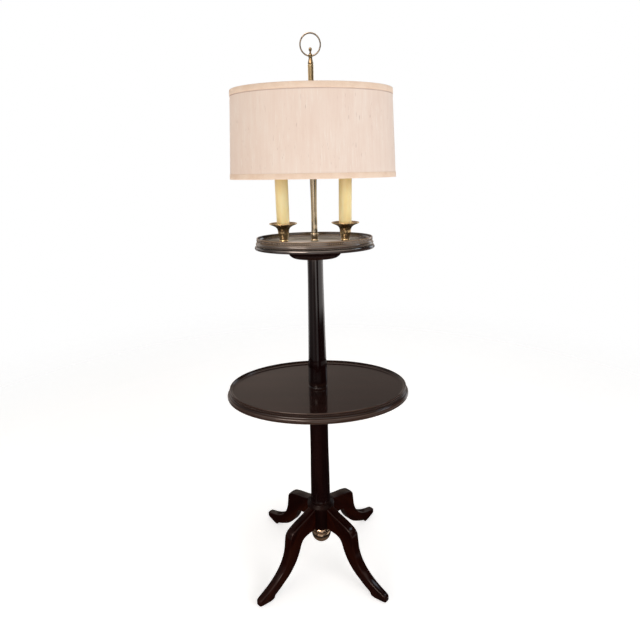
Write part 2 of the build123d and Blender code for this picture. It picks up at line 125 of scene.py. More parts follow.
def runs_to_line(runs, step, soft, closed=False):
    """Joins smooth runs into one line. The corners between runs are eased over a length soft."""
    lines = [cubic(r, step) if not isinstance(r, dict) else cubic(r["p"], r.get("step", step), r.get("t0"), r.get("t1")) for r in runs]
    lens = [sum(math.dist(a, b) for a, b in zip(q, q[1:])) for q in lines]
    n = len(lines)
    out = []
    cut = []
    for i in range(n):
        j = (i + 1) % n
        if i == n - 1 and not closed:
            cut.append(0)
            continue
        cut.append(min(soft, 0.42 * lens[i], 0.42 * lens[j]))
    for i in range(n):
        q = lines[i]
        corner = q[-1]
        before = cut[i - 1] if (i > 0 or closed) else 0
        if before > 0:
            q = trim(q, before, False)
        if cut[i] > 0:
            q = trim(q, cut[i], True)
        if out and math.dist(out[-1], q[0]) < 1e-6:
            q = q[1:]
        out += q
        if cut[i] > 0:
            nxt = lines[(i + 1) % n]
            a = np.array(q[-1])
            c = np.array(corner)
            b = np.array(trim(nxt, cut[i], False)[0])
            for k in range(1, 5):
                t = k / 5
                out.append(tuple(a * (1 - t) ** 2 + 2 * c * t * (1 - t) + b * t * t))
    return out


# ------------------------------------------------------------------ meshes


def make(name, verts, faces, body, material, replaces=(), sharp=38.0, attrs=None, face_mat=None):
    """A mesh piece from points in millimetres."""
    me = bpy.data.meshes.new(name)
    me.from_pydata([tuple(c * MM for c in v) for v in verts], [], [tuple(f) for f in faces])
    me.validate()
    bm = bmesh.new()
    bm.from_mesh(me)
    bmesh.ops.recalc_face_normals(bm, faces=bm.faces)
    bm.to_mesh(me)
    bm.free()
    for kind, values in (attrs or {}).items():
        values = np.asarray(values, np.float32)
        if values.ndim == 2:
            at = me.attributes.new(kind, "FLOAT_VECTOR", "POINT")
            at.data.foreach_set("vector", values.ravel())
        else:
            at = me.attributes.new(kind, "FLOAT", "POINT")
            at.data.foreach_set("value", values.ravel())
    me.shade_smooth()
    if sharp is not None:
        me.set_sharp_from_angle(angle=math.radians(sharp))
    mats = material if isinstance(material, (list, tuple)) else [material]
    for m in mats:
        me.materials.append(m)
    if face_mat is not None:
        me.polygons.foreach_set("material_index", np.asarray(face_mat, np.int32))
    ob = bpy.data.objects.new(name, me)
    scene.collection.objects.link(ob)
    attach(ob, body)
    if replaces:
        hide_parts(*replaces)
    return ob


def grid_faces(rows, cols, wrap_rows=False, wrap_cols=True, base=0):
    out = []
    for i in range(rows if wrap_rows else rows - 1):
        for j in range(cols if wrap_cols else cols - 1):
            a = base + i * cols + j
            b = base + i * cols + (j + 1) % cols
            c = base + ((i + 1) % rows) * cols + (j + 1) % cols
            d = base + ((i + 1) % rows) * cols + j
            out.append((a, b, c, d))
    return out


def ridge(line, reach):
    """How far each point of a profile stands out from its neighbourhood, in millimetres."""
    p = np.array(line, float)
    s = np.concatenate([[0], np.cumsum(np.linalg.norm(np.diff(p, axis=0), axis=1))])
    out = np.zeros(len(p))
    for i in range(len(p)):
        w = np.exp(-0.5 * ((s - s[i]) / reach) ** 2)
        out[i] = p[i, 0] - (w * p[:, 0]).sum() / w.sum()
    return out


def lathe(name, runs, body, material, replaces=(), x=0.0, y=0.0, segs=96, step=1.2, soft=0.6, closed=False,
          squash=1.0, grain="z", shape=None, reach=5.0, sharp=38.0, seed=0.0):
    """A turned piece: runs of (radius, height). squash flattens it along Y."""
    line = runs_to_line(runs, step, soft, closed)
    rd = ridge(line, reach)
    verts, rows, wear = [], [], []
    for (r, z), w in zip(line, rd):
        if r < 1e-5 and not closed:
            rows.append((len(verts), 1))
            verts.append((x, y, z))
            wear.append(w)
            continue
        rows.append((len(verts), segs))
        for j in range(segs):
            t = 2 * math.pi * j / segs
            rr, zz = (r, z) if shape is None else shape(r, z, t)
            verts.append((x + rr * math.cos(t), y + rr * math.sin(t) * squash, zz))
            wear.append(w)
    faces = []
    pairs = list(zip(rows, rows[1:])) + ([(rows[-1], rows[0])] if closed else [])
    for (a, na), (b, nb) in pairs:
        if na == 1 and nb == 1:
            continue
        for j in range(segs):
            k = (j + 1) % segs
            if na == 1:
                faces.append((a, b + j, b + k))
            elif nb == 1:
                faces.append((a + j, a + k, b))
            else:
                faces.append((a + j, a + k, b + k, b + j))
    if not closed:
        if rows[0][1] > 1:
            faces.append(tuple(rows[0][0] + j for j in range(segs)))
        if rows[-1][1] > 1:
            faces.append(tuple(rows[-1][0] + j for j in range(segs)))
    v = np.array(verts) * MM
    if grain == "z":
        g = np.c_[v[:, 2], v[:, 0] - x * MM, v[:, 1] - y * MM]
    else:
        g = np.c_[v[:, 0], v[:, 1], v[:, 2]]
    g = g + seed
    return make(name, verts, faces, body, material, replaces, sharp=sharp, attrs={"grain": g, "wear": np.array(wear)})


def oval_ring(a, b, n):
    """n points on an oval, evenly spaced along it, with outward normals and the length along it."""
    t = np.linspace(0, 2 * math.pi, 7201)
    xy = np.c_[a * np.cos(t), b * np.sin(t)]
    s = np.concatenate([[0], np.cumsum(np.linalg.norm(np.diff(xy, axis=0), axis=1))])
    want = np.linspace(0, s[-1], n + 1)[:-1]
    tt = np.interp(want, s, t)
    p = np.c_[a * np.cos(tt), b * np.sin(tt)]
    nn = np.c_[b * np.cos(tt), a * np.sin(tt)]
    nn /= np.linalg.norm(nn, axis=1)[:, None]
    return p, nn, want, s[-1]


def oval_moulding(name, a, b, runs, body, material, replaces=(), n=360, step=1.0, soft=0.6, beads=None, seed=0.0):
    """A closed section of (offset, height) runs swept round an oval, with an optional row of carved beads."""
    line = runs_to_line(runs, step, soft, closed=True)
    p, nn, s, total = oval_ring(a, b, n)
    verts, faces, wear = [], [], []
    rd = ridge(line, 4.0)
    for (o, z), w in zip(line, rd):
        for (px, py), (nx, ny) in zip(p, nn):
            verts.append((px + nx * o, py + ny * o, z))
            wear.append(w)
    faces = grid_faces(len(line), n, wrap_rows=True)
    along = list(np.tile(s, len(line)))
    off = [o for o, z in line for _ in range(n)]
    if beads:
        count = int(round(total / beads["pitch"]))
        q, qn, qs, _ = oval_ring(a, b, count)
        rl, rz, rt = beads["along"], beads["high"], beads["out"]
        nu, nv = 10, 5
        for (px, py), (nx, ny), ss in zip(q, qn, qs):
            tx, ty = -ny, nx
            base = len(verts)
            for i in range(1, nv):
                f = math.pi / 2 * i / (nv - 1)
                for j in range(nu):
                    g = 2 * math.pi * j / nu
                    u, w2, h = rl * math.sin(f) * math.cos(g), rz * math.sin(f) * math.sin(g), rt * math.cos(f)
                    o = beads["offset"] + h - (0.25 if i == nv - 1 else 0.0)
                    verts.append((px + nx * o + tx * u, py + ny * o + ty * u, beads["z"] + w2))
                    # the bead tops take the most edge colour: partly rubbed wear, partly a painted highlight
                    wear.append(1.05 * math.cos(f) - 0.30)
                    along.append(ss)
                    off.append(o)
            top = len(verts)
            o = beads["offset"] + rt
            verts.append((px + nx * o, py + ny * o, beads["z"]))
            # the tip of each bead is lightest: partly rubbed wear, partly a painted highlight
            wear.append(0.75)
            along.append(ss)
            off.append(o)
            faces += grid_faces(nv - 1, nu, base=base)
            for j in range(nu):
                faces.append((top, base + j, base + (j + 1) % nu))
            faces.append(tuple(base + (nv - 2) * nu + j for j in range(nu)))
    z = np.array([v[2] for v in verts])
    g = np.c_[np.array(along), np.array(off), z] * MM + seed
    return make(name, verts, faces, body, material, replaces, sharp=50.0, attrs={"grain": g, "wear": np.array(wear)})


def oval_plate(name, a, b, z0, z1, r0, r1, body, material, replaces=(), n=240, seed=0.0):
    """A flat oval board with rounded upper (r1) and lower (r0) edges."""
    p, nn, s, total = oval_ring(a, b, n)
    rings = []

    def arc(r, zc, sign):
        out = []
        for i in range(7):
            f = math.pi / 2 * i / 6
            out.append((-r + r * math.sin(f), zc - sign * r * math.cos(f)))
        return out
    low = arc(r0, z0 + r0, 1)
    high = [(o, z) for o, z in reversed(arc(r1, z1 - r1, -1))]
    line = [(-r0 - 6.0, z0), (-r0 - 1.5, z0)] + low + high + [(-r1 - 1.5, z1), (-r1 - 6.0, z1)]
    verts = []
    for o, z in line:
        for (px, py), (nx, ny) in zip(p, nn):
            verts.append((px + nx * o, py + ny * o, z))
    faces = grid_faces(len(line), n)
    faces.append(tuple(range(n)))
    faces.append(tuple((len(line) - 1) * n + j for j in range(n)))
    v = np.array(verts) * MM
    return make(name, verts, faces, body, material, replaces, sharp=50.0,
                attrs={"grain": v + seed, "wear": np.repeat(ridge(line, 3.0), n)})


# ------------------------------------------------------------------ materials


class Net:
    """A few short ways to wire a material."""

    def __init__(self, name):
        self.m = bpy.data.materials.new(name)
        self.m.use_nodes = True
        self.t = self.m.node_tree
        self.t.nodes.clear()
        out = self.t.nodes.new("ShaderNodeOutputMaterial")
        self.b = self.t.nodes.new("ShaderNodeBsdfPrincipled")
        self.t.links.new(self.b.outputs["BSDF"], out.inputs["Surface"])

    def node(self, kind, **props):
        n = self.t.nodes.new(kind)
        for k, v in props.items():
            setattr(n, k, v)
        return n

    def link(self, a, b):
        self.t.links.new(a, b)

    def put(self, socket, value):
        if hasattr(value, "is_output"):
            self.link(value, socket)
        else:
            socket.default_value = value

    def attr(self, name, vector=True):
        n = self.node("ShaderNodeAttribute", attribute_name=name)
        return n.outputs["Vector"] if vector else n.outputs["Fac"]

    def object(self):
        return self.node("ShaderNodeTexCoord").outputs["Object"]

    def mapped(self, vec, scale, rot=(0, 0, 0), loc=(0, 0, 0)):
        n = self.node("ShaderNodeMapping")
        self.link(vec, n.inputs["Vector"])
        n.inputs["Scale"].default_value = scale
        n.inputs["Rotation"].default_value = rot
        n.inputs["Location"].default_value = loc
        return n.outputs["Vector"]

    def noise(self, vec, scale=1.0, detail=3.0, rough=0.55, distort=0.0):
        n = self.node("ShaderNodeTexNoise")
        self.link(vec, n.inputs["Vector"])
        n.inputs["Scale"].default_value = scale
        n.inputs["Detail"].default_value = detail
        n.inputs["Roughness"].default_value = rough
        n.inputs["Distortion"].default_value = distort
        return n.outputs["Fac"]

    def voronoi(self, vec, scale=1.0, feature="F1"):
        n = self.node("ShaderNodeTexVoronoi", feature=feature)
        self.link(vec, n.inputs["Vector"])
        n.inputs["Scale"].default_value = scale
        return n.outputs["Distance"]

    def ramp(self, fac, stops, mode="LINEAR"):
        n = self.node("ShaderNodeValToRGB")
        n.color_ramp.interpolation = mode
        while len(n.color_ramp.elements) < len(stops):
            n.color_ramp.elements.new(0.5)
        for e, (pos, col) in zip(n.color_ramp.elements, stops):
            e.position = pos
            e.color = (*col, 1.0) if len(col) == 3 else col
        self.link(fac, n.inputs["Fac"])
        return n.outputs["Color"]

    def span(self, v, lo, hi, a=0.0, b=1.0, smooth=False):
        n = self.node("ShaderNodeMapRange")
        n.interpolation_type = "SMOOTHSTEP" if smooth else "LINEAR"
        self.put(n.inputs["Value"], v)
        n.inputs["From Min"].default_value = lo
        n.inputs["From Max"].default_value = hi
        n.inputs["To Min"].default_value = a
        n.inputs["To Max"].default_value = b
        return n.outputs["Result"]

    def math(self, op, a, b=0.0, clamp=False):
        n = self.node("ShaderNodeMath", operation=op, use_clamp=clamp)
        self.put(n.inputs[0], a)
        self.put(n.inputs[1], b)
        return n.outputs[0]

    def mix(self, fac, a, b, blend="MIX"):
        n = self.node("ShaderNodeMix", data_type="RGBA", blend_type=blend)
        self.put(n.inputs[0], fac)
        for s, v in ((n.inputs[6], a), (n.inputs[7], b)):
            if hasattr(v, "is_output"):
                self.link(v, s)
            else:
                s.default_value = (*v, 1.0)
        return n.outputs[2]

    def bump(self, height, strength, distance):
        n = self.node("ShaderNodeBump")
        n.inputs["Strength"].default_value = strength
        n.inputs["Distance"].default_value = distance
        self.link(height, n.inputs["Height"])
        self.link(n.outputs["Normal"], self.b.inputs["Normal"])
        return n

    def set(self, **values):
        for k, v in values.items():
            self.put(self.b.inputs[k.replace("_", " ")], v)
        return self.m


def wood(name, source="grain", dark=(0.0030, 0.0006, 0.0006), mid=(0.0060, 0.0013, 0.0012), light=(0.0125, 0.0030, 0.0024), edge=(0.034, 0.015, 0.010), coat=1.0, gloss=0.07, dust=0.0, ior=1.5, dull=None):
    """Dark red-brown mahogany under a gloss lacquer: ribbon figure, fine grain lines and short open pores."""
    k = Net(name)
    vec = k.attr("grain") if source == "grain" else k.mapped(k.object(), (1, 1, 1), rot=(0, math.radians(-90), 0) if source == "z" else (0, 0, 0))
    ribbon = k.noise(k.mapped(vec, (2.2, 26, 26)), 1.0, 2.0, 0.5, 0.4)
    lines = k.noise(k.mapped(vec, (9, 420, 420)), 1.0, 4.0, 0.62, 0.25)
    pores = k.noise(k.mapped(vec, (70, 1500, 1500)), 1.0, 1.0, 0.5)
    tone = k.math("ADD", k.math("MULTIPLY", ribbon, 0.62), k.math("MULTIPLY", lines, 0.38))
    col = k.ramp(tone, ((0.30, dark), (0.50, mid), (0.72, light)))
    pore = k.span(pores, 0.63, 0.72, 0.0, 1.0, True)
    col = k.mix(k.math("MULTIPLY", pore, 0.75), col, (0.002, 0.0008, 0.0006))
    # rubbed, redder edges; on the carved beads and lips of the rim and gallery the light edge colour is partly a
    # painted highlight
    wear_and_highlight = k.span(k.math("ADD", k.attr("wear", False), k.math("MULTIPLY", k.math("SUBTRACT", ribbon, 0.5), 0.5)), 0.12, 0.75, 0.0, 0.55, True)
    if source == "grain":
        col = k.mix(wear_and_highlight, col, edge)
    k.link(col, k.b.inputs["Base Color"])
    k.link(k.span(k.noise(k.mapped(vec, (14, 60, 60)), 1.0, 3.0), 0.3, 0.7, 0.30, 0.44), k.b.inputs["Roughness"])
    h = k.math("SUBTRACT", k.math("MULTIPLY", lines, 0.35), pore)
    k.bump(h, 0.12, 0.0003)
    if dull:
        # lacquer rubbed thin between these heights
        height = k.node("ShaderNodeSeparateXYZ")
        k.link(k.object(), height.inputs[0])
        band = k.math("MULTIPLY", k.span(height.outputs["Z"], dull[0], dull[1], 0.0, 1.0, True), k.span(height.outputs["Z"], dull[2], dull[3], 1.0, 0.0, True))
        k.link(k.span(band, 0.0, 1.0, coat, 0.12 * coat), k.b.inputs["Coat Weight"])
    # a film of dust and old wax, seen at a low angle
    k.b.inputs["Sheen Tint"].default_value = (1.0, 0.90, 0.76, 1.0)
    return k.set(Specular_IOR_Level=0.02, Coat_Weight=coat, Coat_Roughness=gloss, Coat_IOR=ior, Sheen_Weight=dust, Sheen_Roughness=0.45)


def brass(name, bright=(0.50, 0.37, 0.185), aged=(0.115, 0.072, 0.032), mottle=1.1, rough=(0.34, 0.19)):
    """Aged brass: satin and worn bright on the ridges, dark in the hollows, with faint turning marks."""
    k = Net(name)
    vec = k.object()
    cloud = k.noise(k.mapped(vec, (55, 55, 55)), 1.0, 4.0, 0.6, 0.3)
    spots = k.noise(k.mapped(vec, (420, 420, 420)), 1.0, 2.0, 0.5)
    turn = k.noise(k.mapped(vec, (20, 20, 2600)), 1.0, 2.0, 0.5)
    wear = k.attr("wear", False)
    f = k.math("ADD", k.math("MULTIPLY", wear, 0.55), k.math("MULTIPLY", k.math("SUBTRACT", cloud, 0.5), mottle))
    f = k.span(f, -0.55, 0.55, 0.0, 1.0, True)
    col = k.mix(f, aged, bright)
    col = k.mix(k.span(spots, 0.62, 0.74, 0.0, 0.5 * mottle, True), col, (0.060, 0.036, 0.016))
    k.link(col, k.b.inputs["Base Color"])
    rough = k.math("ADD", k.span(f, 0.0, 1.0, *rough), k.span(turn, 0.35, 0.65, -0.03, 0.03))
    k.link(rough, k.b.inputs["Roughness"])
    k.bump(k.math("ADD", k.math("MULTIPLY", turn, 0.5), k.math("MULTIPLY", spots, 0.3)), 0.10, 0.0002)
    return k.set(Metallic=1.0, Specular_IOR_Level=0.5)


def steel(name, base=(0.55, 0.55, 0.54)):
    """Zinc-plated steel with a faint cloudy passivated tone."""
    k = Net(name)
    vec = k.object()
    c = k.noise(k.mapped(vec, (140, 140, 140)), 1.0, 4.0, 0.6)
    k.link(k.mix(k.span(c, 0.3, 0.7), tuple(0.55 * v for v in base), base), k.b.inputs["Base Color"])
    k.link(k.span(c, 0.3, 0.7, 0.28, 0.46), k.b.inputs["Roughness"])
    k.bump(k.noise(k.mapped(vec, (900, 900, 900)), 1.0, 2.0), 0.08, 0.0001)
    return k.set(Metallic=1.0)


def plastic(name, base, var, rough=(0.42, 0.6)):
    """Moulded plastic with a fine orange-peel surface and slight tone drift."""
    k = Net(name)
    vec = k.object()
    c = k.noise(k.mapped(vec, (30, 30, 30)), 1.0, 3.0)
    k.link(k.mix(k.span(c, 0.3, 0.7), base, var), k.b.inputs["Base Color"])
    k.link(k.span(c, 0.3, 0.7, *rough), k.b.inputs["Roughness"])
    k.bump(k.noise(k.mapped(vec, (700, 700, 700)), 1.0, 2.0), 0.10, 0.0002)
    return k.set(Specular_IOR_Level=0.4)


def candle(name):
    """Wax-like resin: cream yellow with soft vertical streaks, with painted shade: darker and more orange towards the
    top, under the lampshade.
    """
    k = Net(name)
    vec = k.object()
    streak = k.noise(k.mapped(vec, (120, 120, 9)), 1.0, 3.0, 0.55, 0.3)
    cloud = k.noise(k.mapped(vec, (35, 35, 22)), 1.0, 3.0, 0.55)
    specks = k.noise(k.mapped(vec, (650, 650, 420)), 1.0, 2.0)
    tone = k.math("ADD", k.math("MULTIPLY", streak, 0.55), k.math("MULTIPLY", cloud, 0.45))
    col = k.ramp(tone, ((0.28, (0.90, 0.665, 0.295)), (0.50, (0.99, 0.780, 0.390)), (0.72, (1.0, 0.88, 0.54))))
    col = k.mix(k.span(specks, 0.66, 0.78, 0.0, 0.35, True), col, (0.52, 0.34, 0.14))
    # painted shade: darker and more orange towards the top, where the lampshade shades the candle
    height = k.node("ShaderNodeSeparateXYZ")
    k.link(vec, height.inputs[0])
    col = k.mix(k.span(height.outputs["Z"], 1.085, 1.150, 0.0, 0.75, True), col, (0.78, 0.52, 0.215))
    k.link(col, k.b.inputs["Base Color"])
    k.link(k.span(cloud, 0.3, 0.7, 0.26, 0.38), k.b.inputs["Roughness"])
    k.bump(k.math("ADD", streak, k.math("MULTIPLY", specks, 0.2)), 0.25, 0.0006)
    k.b.inputs["Subsurface Radius"].default_value = (0.006, 0.0035, 0.0015)
    return k.set(Subsurface_Weight=0.15, Subsurface_Scale=0.4, Specular_IOR_Level=0.4)


def silk(name):
    """Slubbed silk with upright threads: u runs round the shade, v up it, in metres."""
    k = Net(name)
    vec = k.attr("cloth")
    fine = k.noise(k.mapped(vec, (1500, 70, 1)), 1.0, 2.0, 0.5)
    weft = k.noise(k.mapped(vec, (90, 2200, 1)), 1.0, 1.0, 0.5)
    slub = k.noise(k.mapped(vec, (330, 26, 1)), 1.0, 3.0, 0.6, 0.3)
    streak = k.noise(k.mapped(vec, (95, 7.5, 1)), 1.0, 3.0, 0.6, 0.4)
    cloud = k.noise(k.mapped(vec, (13, 7.5, 1)), 1.0, 3.0, 0.55, 0.3)
    patch = k.span(k.noise(k.mapped(vec, (22, 14, 1), loc=(7, 2, 0)), 1.0, 2.0), 0.36, 0.62, 0.25, 1.0, True)
    flecks = k.noise(k.mapped(vec, (400, 52, 1), loc=(3, 5, 0)), 1.0, 1.0, 0.5)
    tone = k.math("ADD", k.math("MULTIPLY", streak, 0.34), k.math("MULTIPLY", cloud, 0.36))
    tone = k.math("ADD", tone, k.math("MULTIPLY", fine, 0.12))
    tone = k.math("ADD", tone, k.math("MULTIPLY", k.math("ADD", k.math("MULTIPLY", k.math("SUBTRACT", slub, 0.5), patch), 0.5), 0.18))
    col = k.ramp(tone, ((0.33, (0.838, 0.662, 0.562)), (0.50, (0.880, 0.722, 0.622)), (0.67, (0.916, 0.788, 0.696))))
    bright = k.math("MULTIPLY", k.span(slub, 0.56, 0.70, 0.0, 0.50, True), patch)
    col = k.mix(bright, col, (0.96, 0.865, 0.780))
    dark = k.math("MULTIPLY", k.span(flecks, 0.68, 0.76, 0.0, 0.55, True), patch)
    col = k.mix(dark, col, (0.52, 0.36, 0.29))
    # painted shadow: a dark line on the silk just under the edge of the upper tape, where the tape's edge shades it,
    # partly grime
    seam = k.node("ShaderNodeSeparateXYZ")
    k.link(vec, seam.inputs[0])
    line = k.math("MULTIPLY", k.span(seam.outputs["Y"], 1.3112, 1.3124, 0.0, 0.55, True), k.span(cloud, 0.3, 0.6, 0.7, 1.0))
    col = k.mix(line, col, (0.36, 0.19, 0.135))
    k.link(col, k.b.inputs["Base Color"])
    k.link(k.span(streak, 0.3, 0.7, 0.50, 0.68), k.b.inputs["Roughness"])
    h = k.math("ADD", k.math("MULTIPLY", fine, 0.5), k.math("MULTIPLY", weft, 0.25))
    h = k.math("ADD", h, k.math("MULTIPLY", k.math("MULTIPLY", k.span(slub, 0.5, 0.8, 0.0, 1.0, True), patch), 0.9))
    k.bump(h, 0.35, 0.0004)
    k.b.inputs["Sheen Tint"].default_value = (1.0, 0.93, 0.88, 1.0)
    return k.set(Specular_IOR_Level=0.25, Sheen_Weight=0.25, Sheen_Roughness=0.35)


def tape(name):
    """Woven trim tape: fine ribs across the band, a little denser in colour than the silk."""
    k = Net(name)
    vec = k.attr("cloth")
    rib = k.node("ShaderNodeTexWave", wave_type="BANDS", bands_direction="X")
    k.link(k.mapped(vec, (1, 1, 1)), rib.inputs["Vector"])
    rib.inputs["Scale"].default_value = 190.0
    rib.inputs["Distortion"].default_value = 0.6
    rib.inputs["Detail"].default_value = 1.0
    fuzz = k.noise(k.mapped(vec, (900, 500, 1)), 1.0, 2.0)
    cloud = k.noise(k.mapped(vec, (40, 40, 1)), 1.0, 3.0)
    tone = k.math("ADD", k.math("MULTIPLY", cloud, 0.5), k.math("MULTIPLY", fuzz, 0.3))
    tone = k.math("ADD", tone, k.math("MULTIPLY", rib.outputs["Fac"], 0.2))
    col = k.ramp(tone, ((0.30, (0.79, 0.570, 0.425)), (0.52, (0.905, 0.706, 0.558)), (0.75, (0.96, 0.800, 0.668))))
    k.link(col, k.b.inputs["Base Color"])
    k.link(k.span(fuzz, 0.3, 0.7, 0.62, 0.80), k.b.inputs["Roughness"])
    k.bump(k.math("ADD", rib.outputs["Fac"], k.math("MULTIPLY", fuzz, 0.5)), 0.35, 0.0003)
    return k.set(Specular_IOR_Level=0.2, Sheen_Weight=0.2, Sheen_Roughness=0.4)


def liner(name):
    """White lining inside the shade, gone slightly cream."""
    k = Net(name)
    vec = k.attr("cloth")
    c = k.noise(k.mapped(vec, (9, 12, 1)), 1.0, 3.0)
    f = k.noise(k.mapped(vec, (700, 700, 1)), 1.0, 2.0)
    k.link(k.mix(k.span(c, 0.3, 0.7), (0.80, 0.74, 0.64), (0.88, 0.84, 0.77)), k.b.inputs["Base Color"])
    k.link(k.span(f, 0.3, 0.7, 0.55, 0.7), k.b.inputs["Roughness"])
    k.bump(f, 0.1, 0.0002)
    return k.set(Specular_IOR_Level=0.3)


def frosted(name):
    """Frosted lamp glass, as a thin white coat on the bulb."""
    k = Net(name)
    vec = k.object()
    c = k.noise(k.mapped(vec, (90, 90, 40)), 1.0, 3.0)
    f = k.noise(k.mapped(vec, (1600, 1600, 1600)), 1.0, 2.0)
    k.link(k.mix(k.span(c, 0.3, 0.7), (0.88, 0.87, 0.84), (0.95, 0.94, 0.92)), k.b.inputs["Base Color"])
    k.link(k.span(f, 0.3, 0.7, 0.22, 0.34), k.b.inputs["Roughness"])
    k.bump(f, 0.05, 0.0001)
    return k.set(Specular_IOR_Level=0.5, Transmission_Weight=0.35, Subsurface_Weight=0.2, Subsurface_Scale=0.01, Coat_Weight=0.4, Coat_Roughness=0.1)


WOOD = wood("mahogany")
WOOD_COLUMN = wood("mahogany_upper_column", dull=(0.646, 0.653, 0.669, 0.675))
WOOD_TOP = wood("mahogany_table_top", dark=(0.0084, 0.0026, 0.0021), mid=(0.0165, 0.0060, 0.0049), light=(0.0305, 0.0124, 0.0097), edge=(0.034, 0.015, 0.010), gloss=0.07)
WOOD_LEG = wood("mahogany_legs", dark=(0.0042, 0.0005, 0.0003), mid=(0.0105, 0.0014, 0.0006), light=(0.0270, 0.0050, 0.0012), edge=(0.016, 0.0042, 0.0025), coat=0.36, gloss=0.12, dull=(0.070, 0.085, 0.150, 0.165))
WOOD_HUB = wood("mahogany_hub", dark=(0.0026, 0.0004, 0.0003), mid=(0.0052, 0.0008, 0.0005), light=(0.0105, 0.0023, 0.0012), edge=(0.009, 0.003, 0.002), coat=0.10, gloss=0.30)
# the rim's light edge colour on its beads and lip is partly rubbed wear, partly a painted highlight
WOOD_RIM = wood("mahogany_rim", dark=(0.0066, 0.0024, 0.0016), mid=(0.0145, 0.0060, 0.0042), light=(0.0270, 0.0122, 0.0086), edge=(0.054, 0.028, 0.0185), gloss=0.11)
WOOD_TRAY = wood("mahogany_tray", dark=(0.0110, 0.0056, 0.0040), mid=(0.0220, 0.0120, 0.0080), light=(0.0400, 0.0225, 0.0140), edge=(0.070, 0.040, 0.025), gloss=0.10, dust=0.70, ior=2.0)
WOOD_BASE = wood("mahogany_tray_base", dark=(0.0042, 0.0014, 0.0010), mid=(0.0090, 0.0034, 0.0024), light=(0.0170, 0.0075, 0.0054), edge=(0.040, 0.022, 0.016), gloss=0.09, ior=2.0)
# the gallery's very light edge colour on its beads and lips is partly rubbed wear, partly a painted highlight
WOOD_GALLERY = wood("mahogany_gallery", dark=(0.022, 0.0120, 0.0062), mid=(0.056, 0.0326, 0.0172), light=(0.104, 0.0635, 0.0345), edge=(0.34, 0.220, 0.128), gloss=0.08, ior=2.0)
BEECH = wood("beech", source="x", dark=(0.36, 0.24, 0.13), mid=(0.50, 0.35, 0.20), light=(0.60, 0.44, 0.27), coat=0.0)
BRASS = brass("antique_brass", bright=(0.84, 0.635, 0.345), aged=(0.32, 0.215, 0.108), mottle=0.6, rough=(0.31, 0.18))
BRASS_BUN = brass("antique_brass_red", bright=(0.66, 0.48, 0.33), aged=(0.21, 0.12, 0.068), mottle=0.8, rough=(0.33, 0.20))
BRASS_FINIAL = brass("antique_brass_gold", bright=(0.92, 0.700, 0.390), aged=(0.43, 0.300, 0.148), mottle=0.5, rough=(0.38, 0.26))
BRASS_TIP = brass("antique_brass_dark", bright=(0.40, 0.305, 0.175), aged=(0.155, 0.108, 0.055), mottle=0.5, rough=(0.40, 0.28))
BRASS_RING = brass("antique_brass_dull", bright=(0.50, 0.42, 0.32), aged=(0.24, 0.19, 0.135), mottle=0.5, rough=(0.44, 0.32))
BRASS_ROD = brass("antique_brass_light", bright=(0.80, 0.685, 0.50), aged=(0.42, 0.325, 0.20), mottle=0.30, rough=(0.20, 0.12))
STEEL = steel("zinc_steel")
CANDLE = candle("candle_resin")
SILK = silk("silk")
TAPE = tape("trim_tape")
LINER = liner("shade_lining")
PHENOLIC = plastic("phenolic", (0.020, 0.016, 0.014), (0.038, 0.031, 0.027))
WIRE = plastic("frame_wire", (0.66, 0.62, 0.54), (0.76, 0.73, 0.66), (0.35, 0.5))
CAP = steel("bulb_cap_metal", (0.72, 0.70, 0.66))
FROST = frosted("bulb_frosted")

# ------------------------------------------------------------------ legs
LEG_T = 26.5
LEG_R = 3.0
LEG_CROWN = 1.0
TOE_R = 7.0
TOE_T = 18.0
TOE_END = 254.4
TAPER_R = 150.0


def leg_outline():
    """Side view of a leg, and how much of the crown each point takes: the top, outer face and toe are crowned."""
    runs = [
        {"p": [(39.6, 202.25), (60, 195.2), (80, 190.0), (100, 184.6), (116.0, 179.0)], "step": 2.5},
        {"p": [(116.0, 179.0), (129.4, 170.8), (136.6, 157.0)], "t0": (1, -0.38), "t1": (0.13, -1), "step": 1.2},
        {"p": [(136.6, 157.0), (138.3, 145.0), (142.6, 116.0), (149.8, 94.5), (158.6, 79.5), (172.4, 64.2), (190.8, 50.0),
               (210.0, 40.0), (231.0, 32.2), (243.0, 28.4)], "t0": (0.13, -1), "t1": (1, -0.3), "step": 2.5},
        {"p": [(243.0, 28.4), (250.2, 24.8), (253.8, 19.0), (254.4, 12.6), (252.4, 8.6), (248.0, 6.9)], "t0": (1, -0.3), "t1": (-1, -0.24), "step": 1.2},
        {"p": [(248.0, 6.9), (217.5, 0.0)], "step": 2.0},
        {"p": [(217.5, 0.0), (206.0, 0.0)], "step": 2.0},
        {"p": [(206.0, 0.0), (202.4, 3.4), (200.4, 9.6)], "step": 1.2},
        {"p": [(200.4, 9.6), (178.0, 21.2), (158.0, 33.8), (145.0, 42.6), (131.5, 54.2), (119.4, 67.4), (108.8, 83.6),
               (100.6, 100.6), (94.6, 116.0), (86.0, 127.4), (73.0, 131.8), (56.0, 132.3), (39.6, 132.2)], "step": 2.2},
    ]
    lines = [cubic(r["p"], r["step"], r.get("t0"), r.get("t1")) for r in runs]
    out = list(lines[0])
    top = [1.0] * len(out)
    for i in range(1, len(lines)):
        q = lines[i]
        if i in (5, 6, 7):         # the corners of the sole and heel are eased
            d = 2.4
            out = trim(out, d, True)
            top = top[:len(out)]
            c = np.array(q[0])
            a = np.array(out[-1])
            q = trim(q, d, False)
            b = np.array(q[0])
            for k in range(1, 6):
                t = k / 6
                out.append(tuple(a * (1 - t) ** 2 + 2 * c * t * (1 - t) + b * t * t))
            out += q
        else:
            out += q[1:]
        top += [1.0 if i <= 3 else 0.0] * (len(out) - len(top))
    return np.array(out), np.array(top)


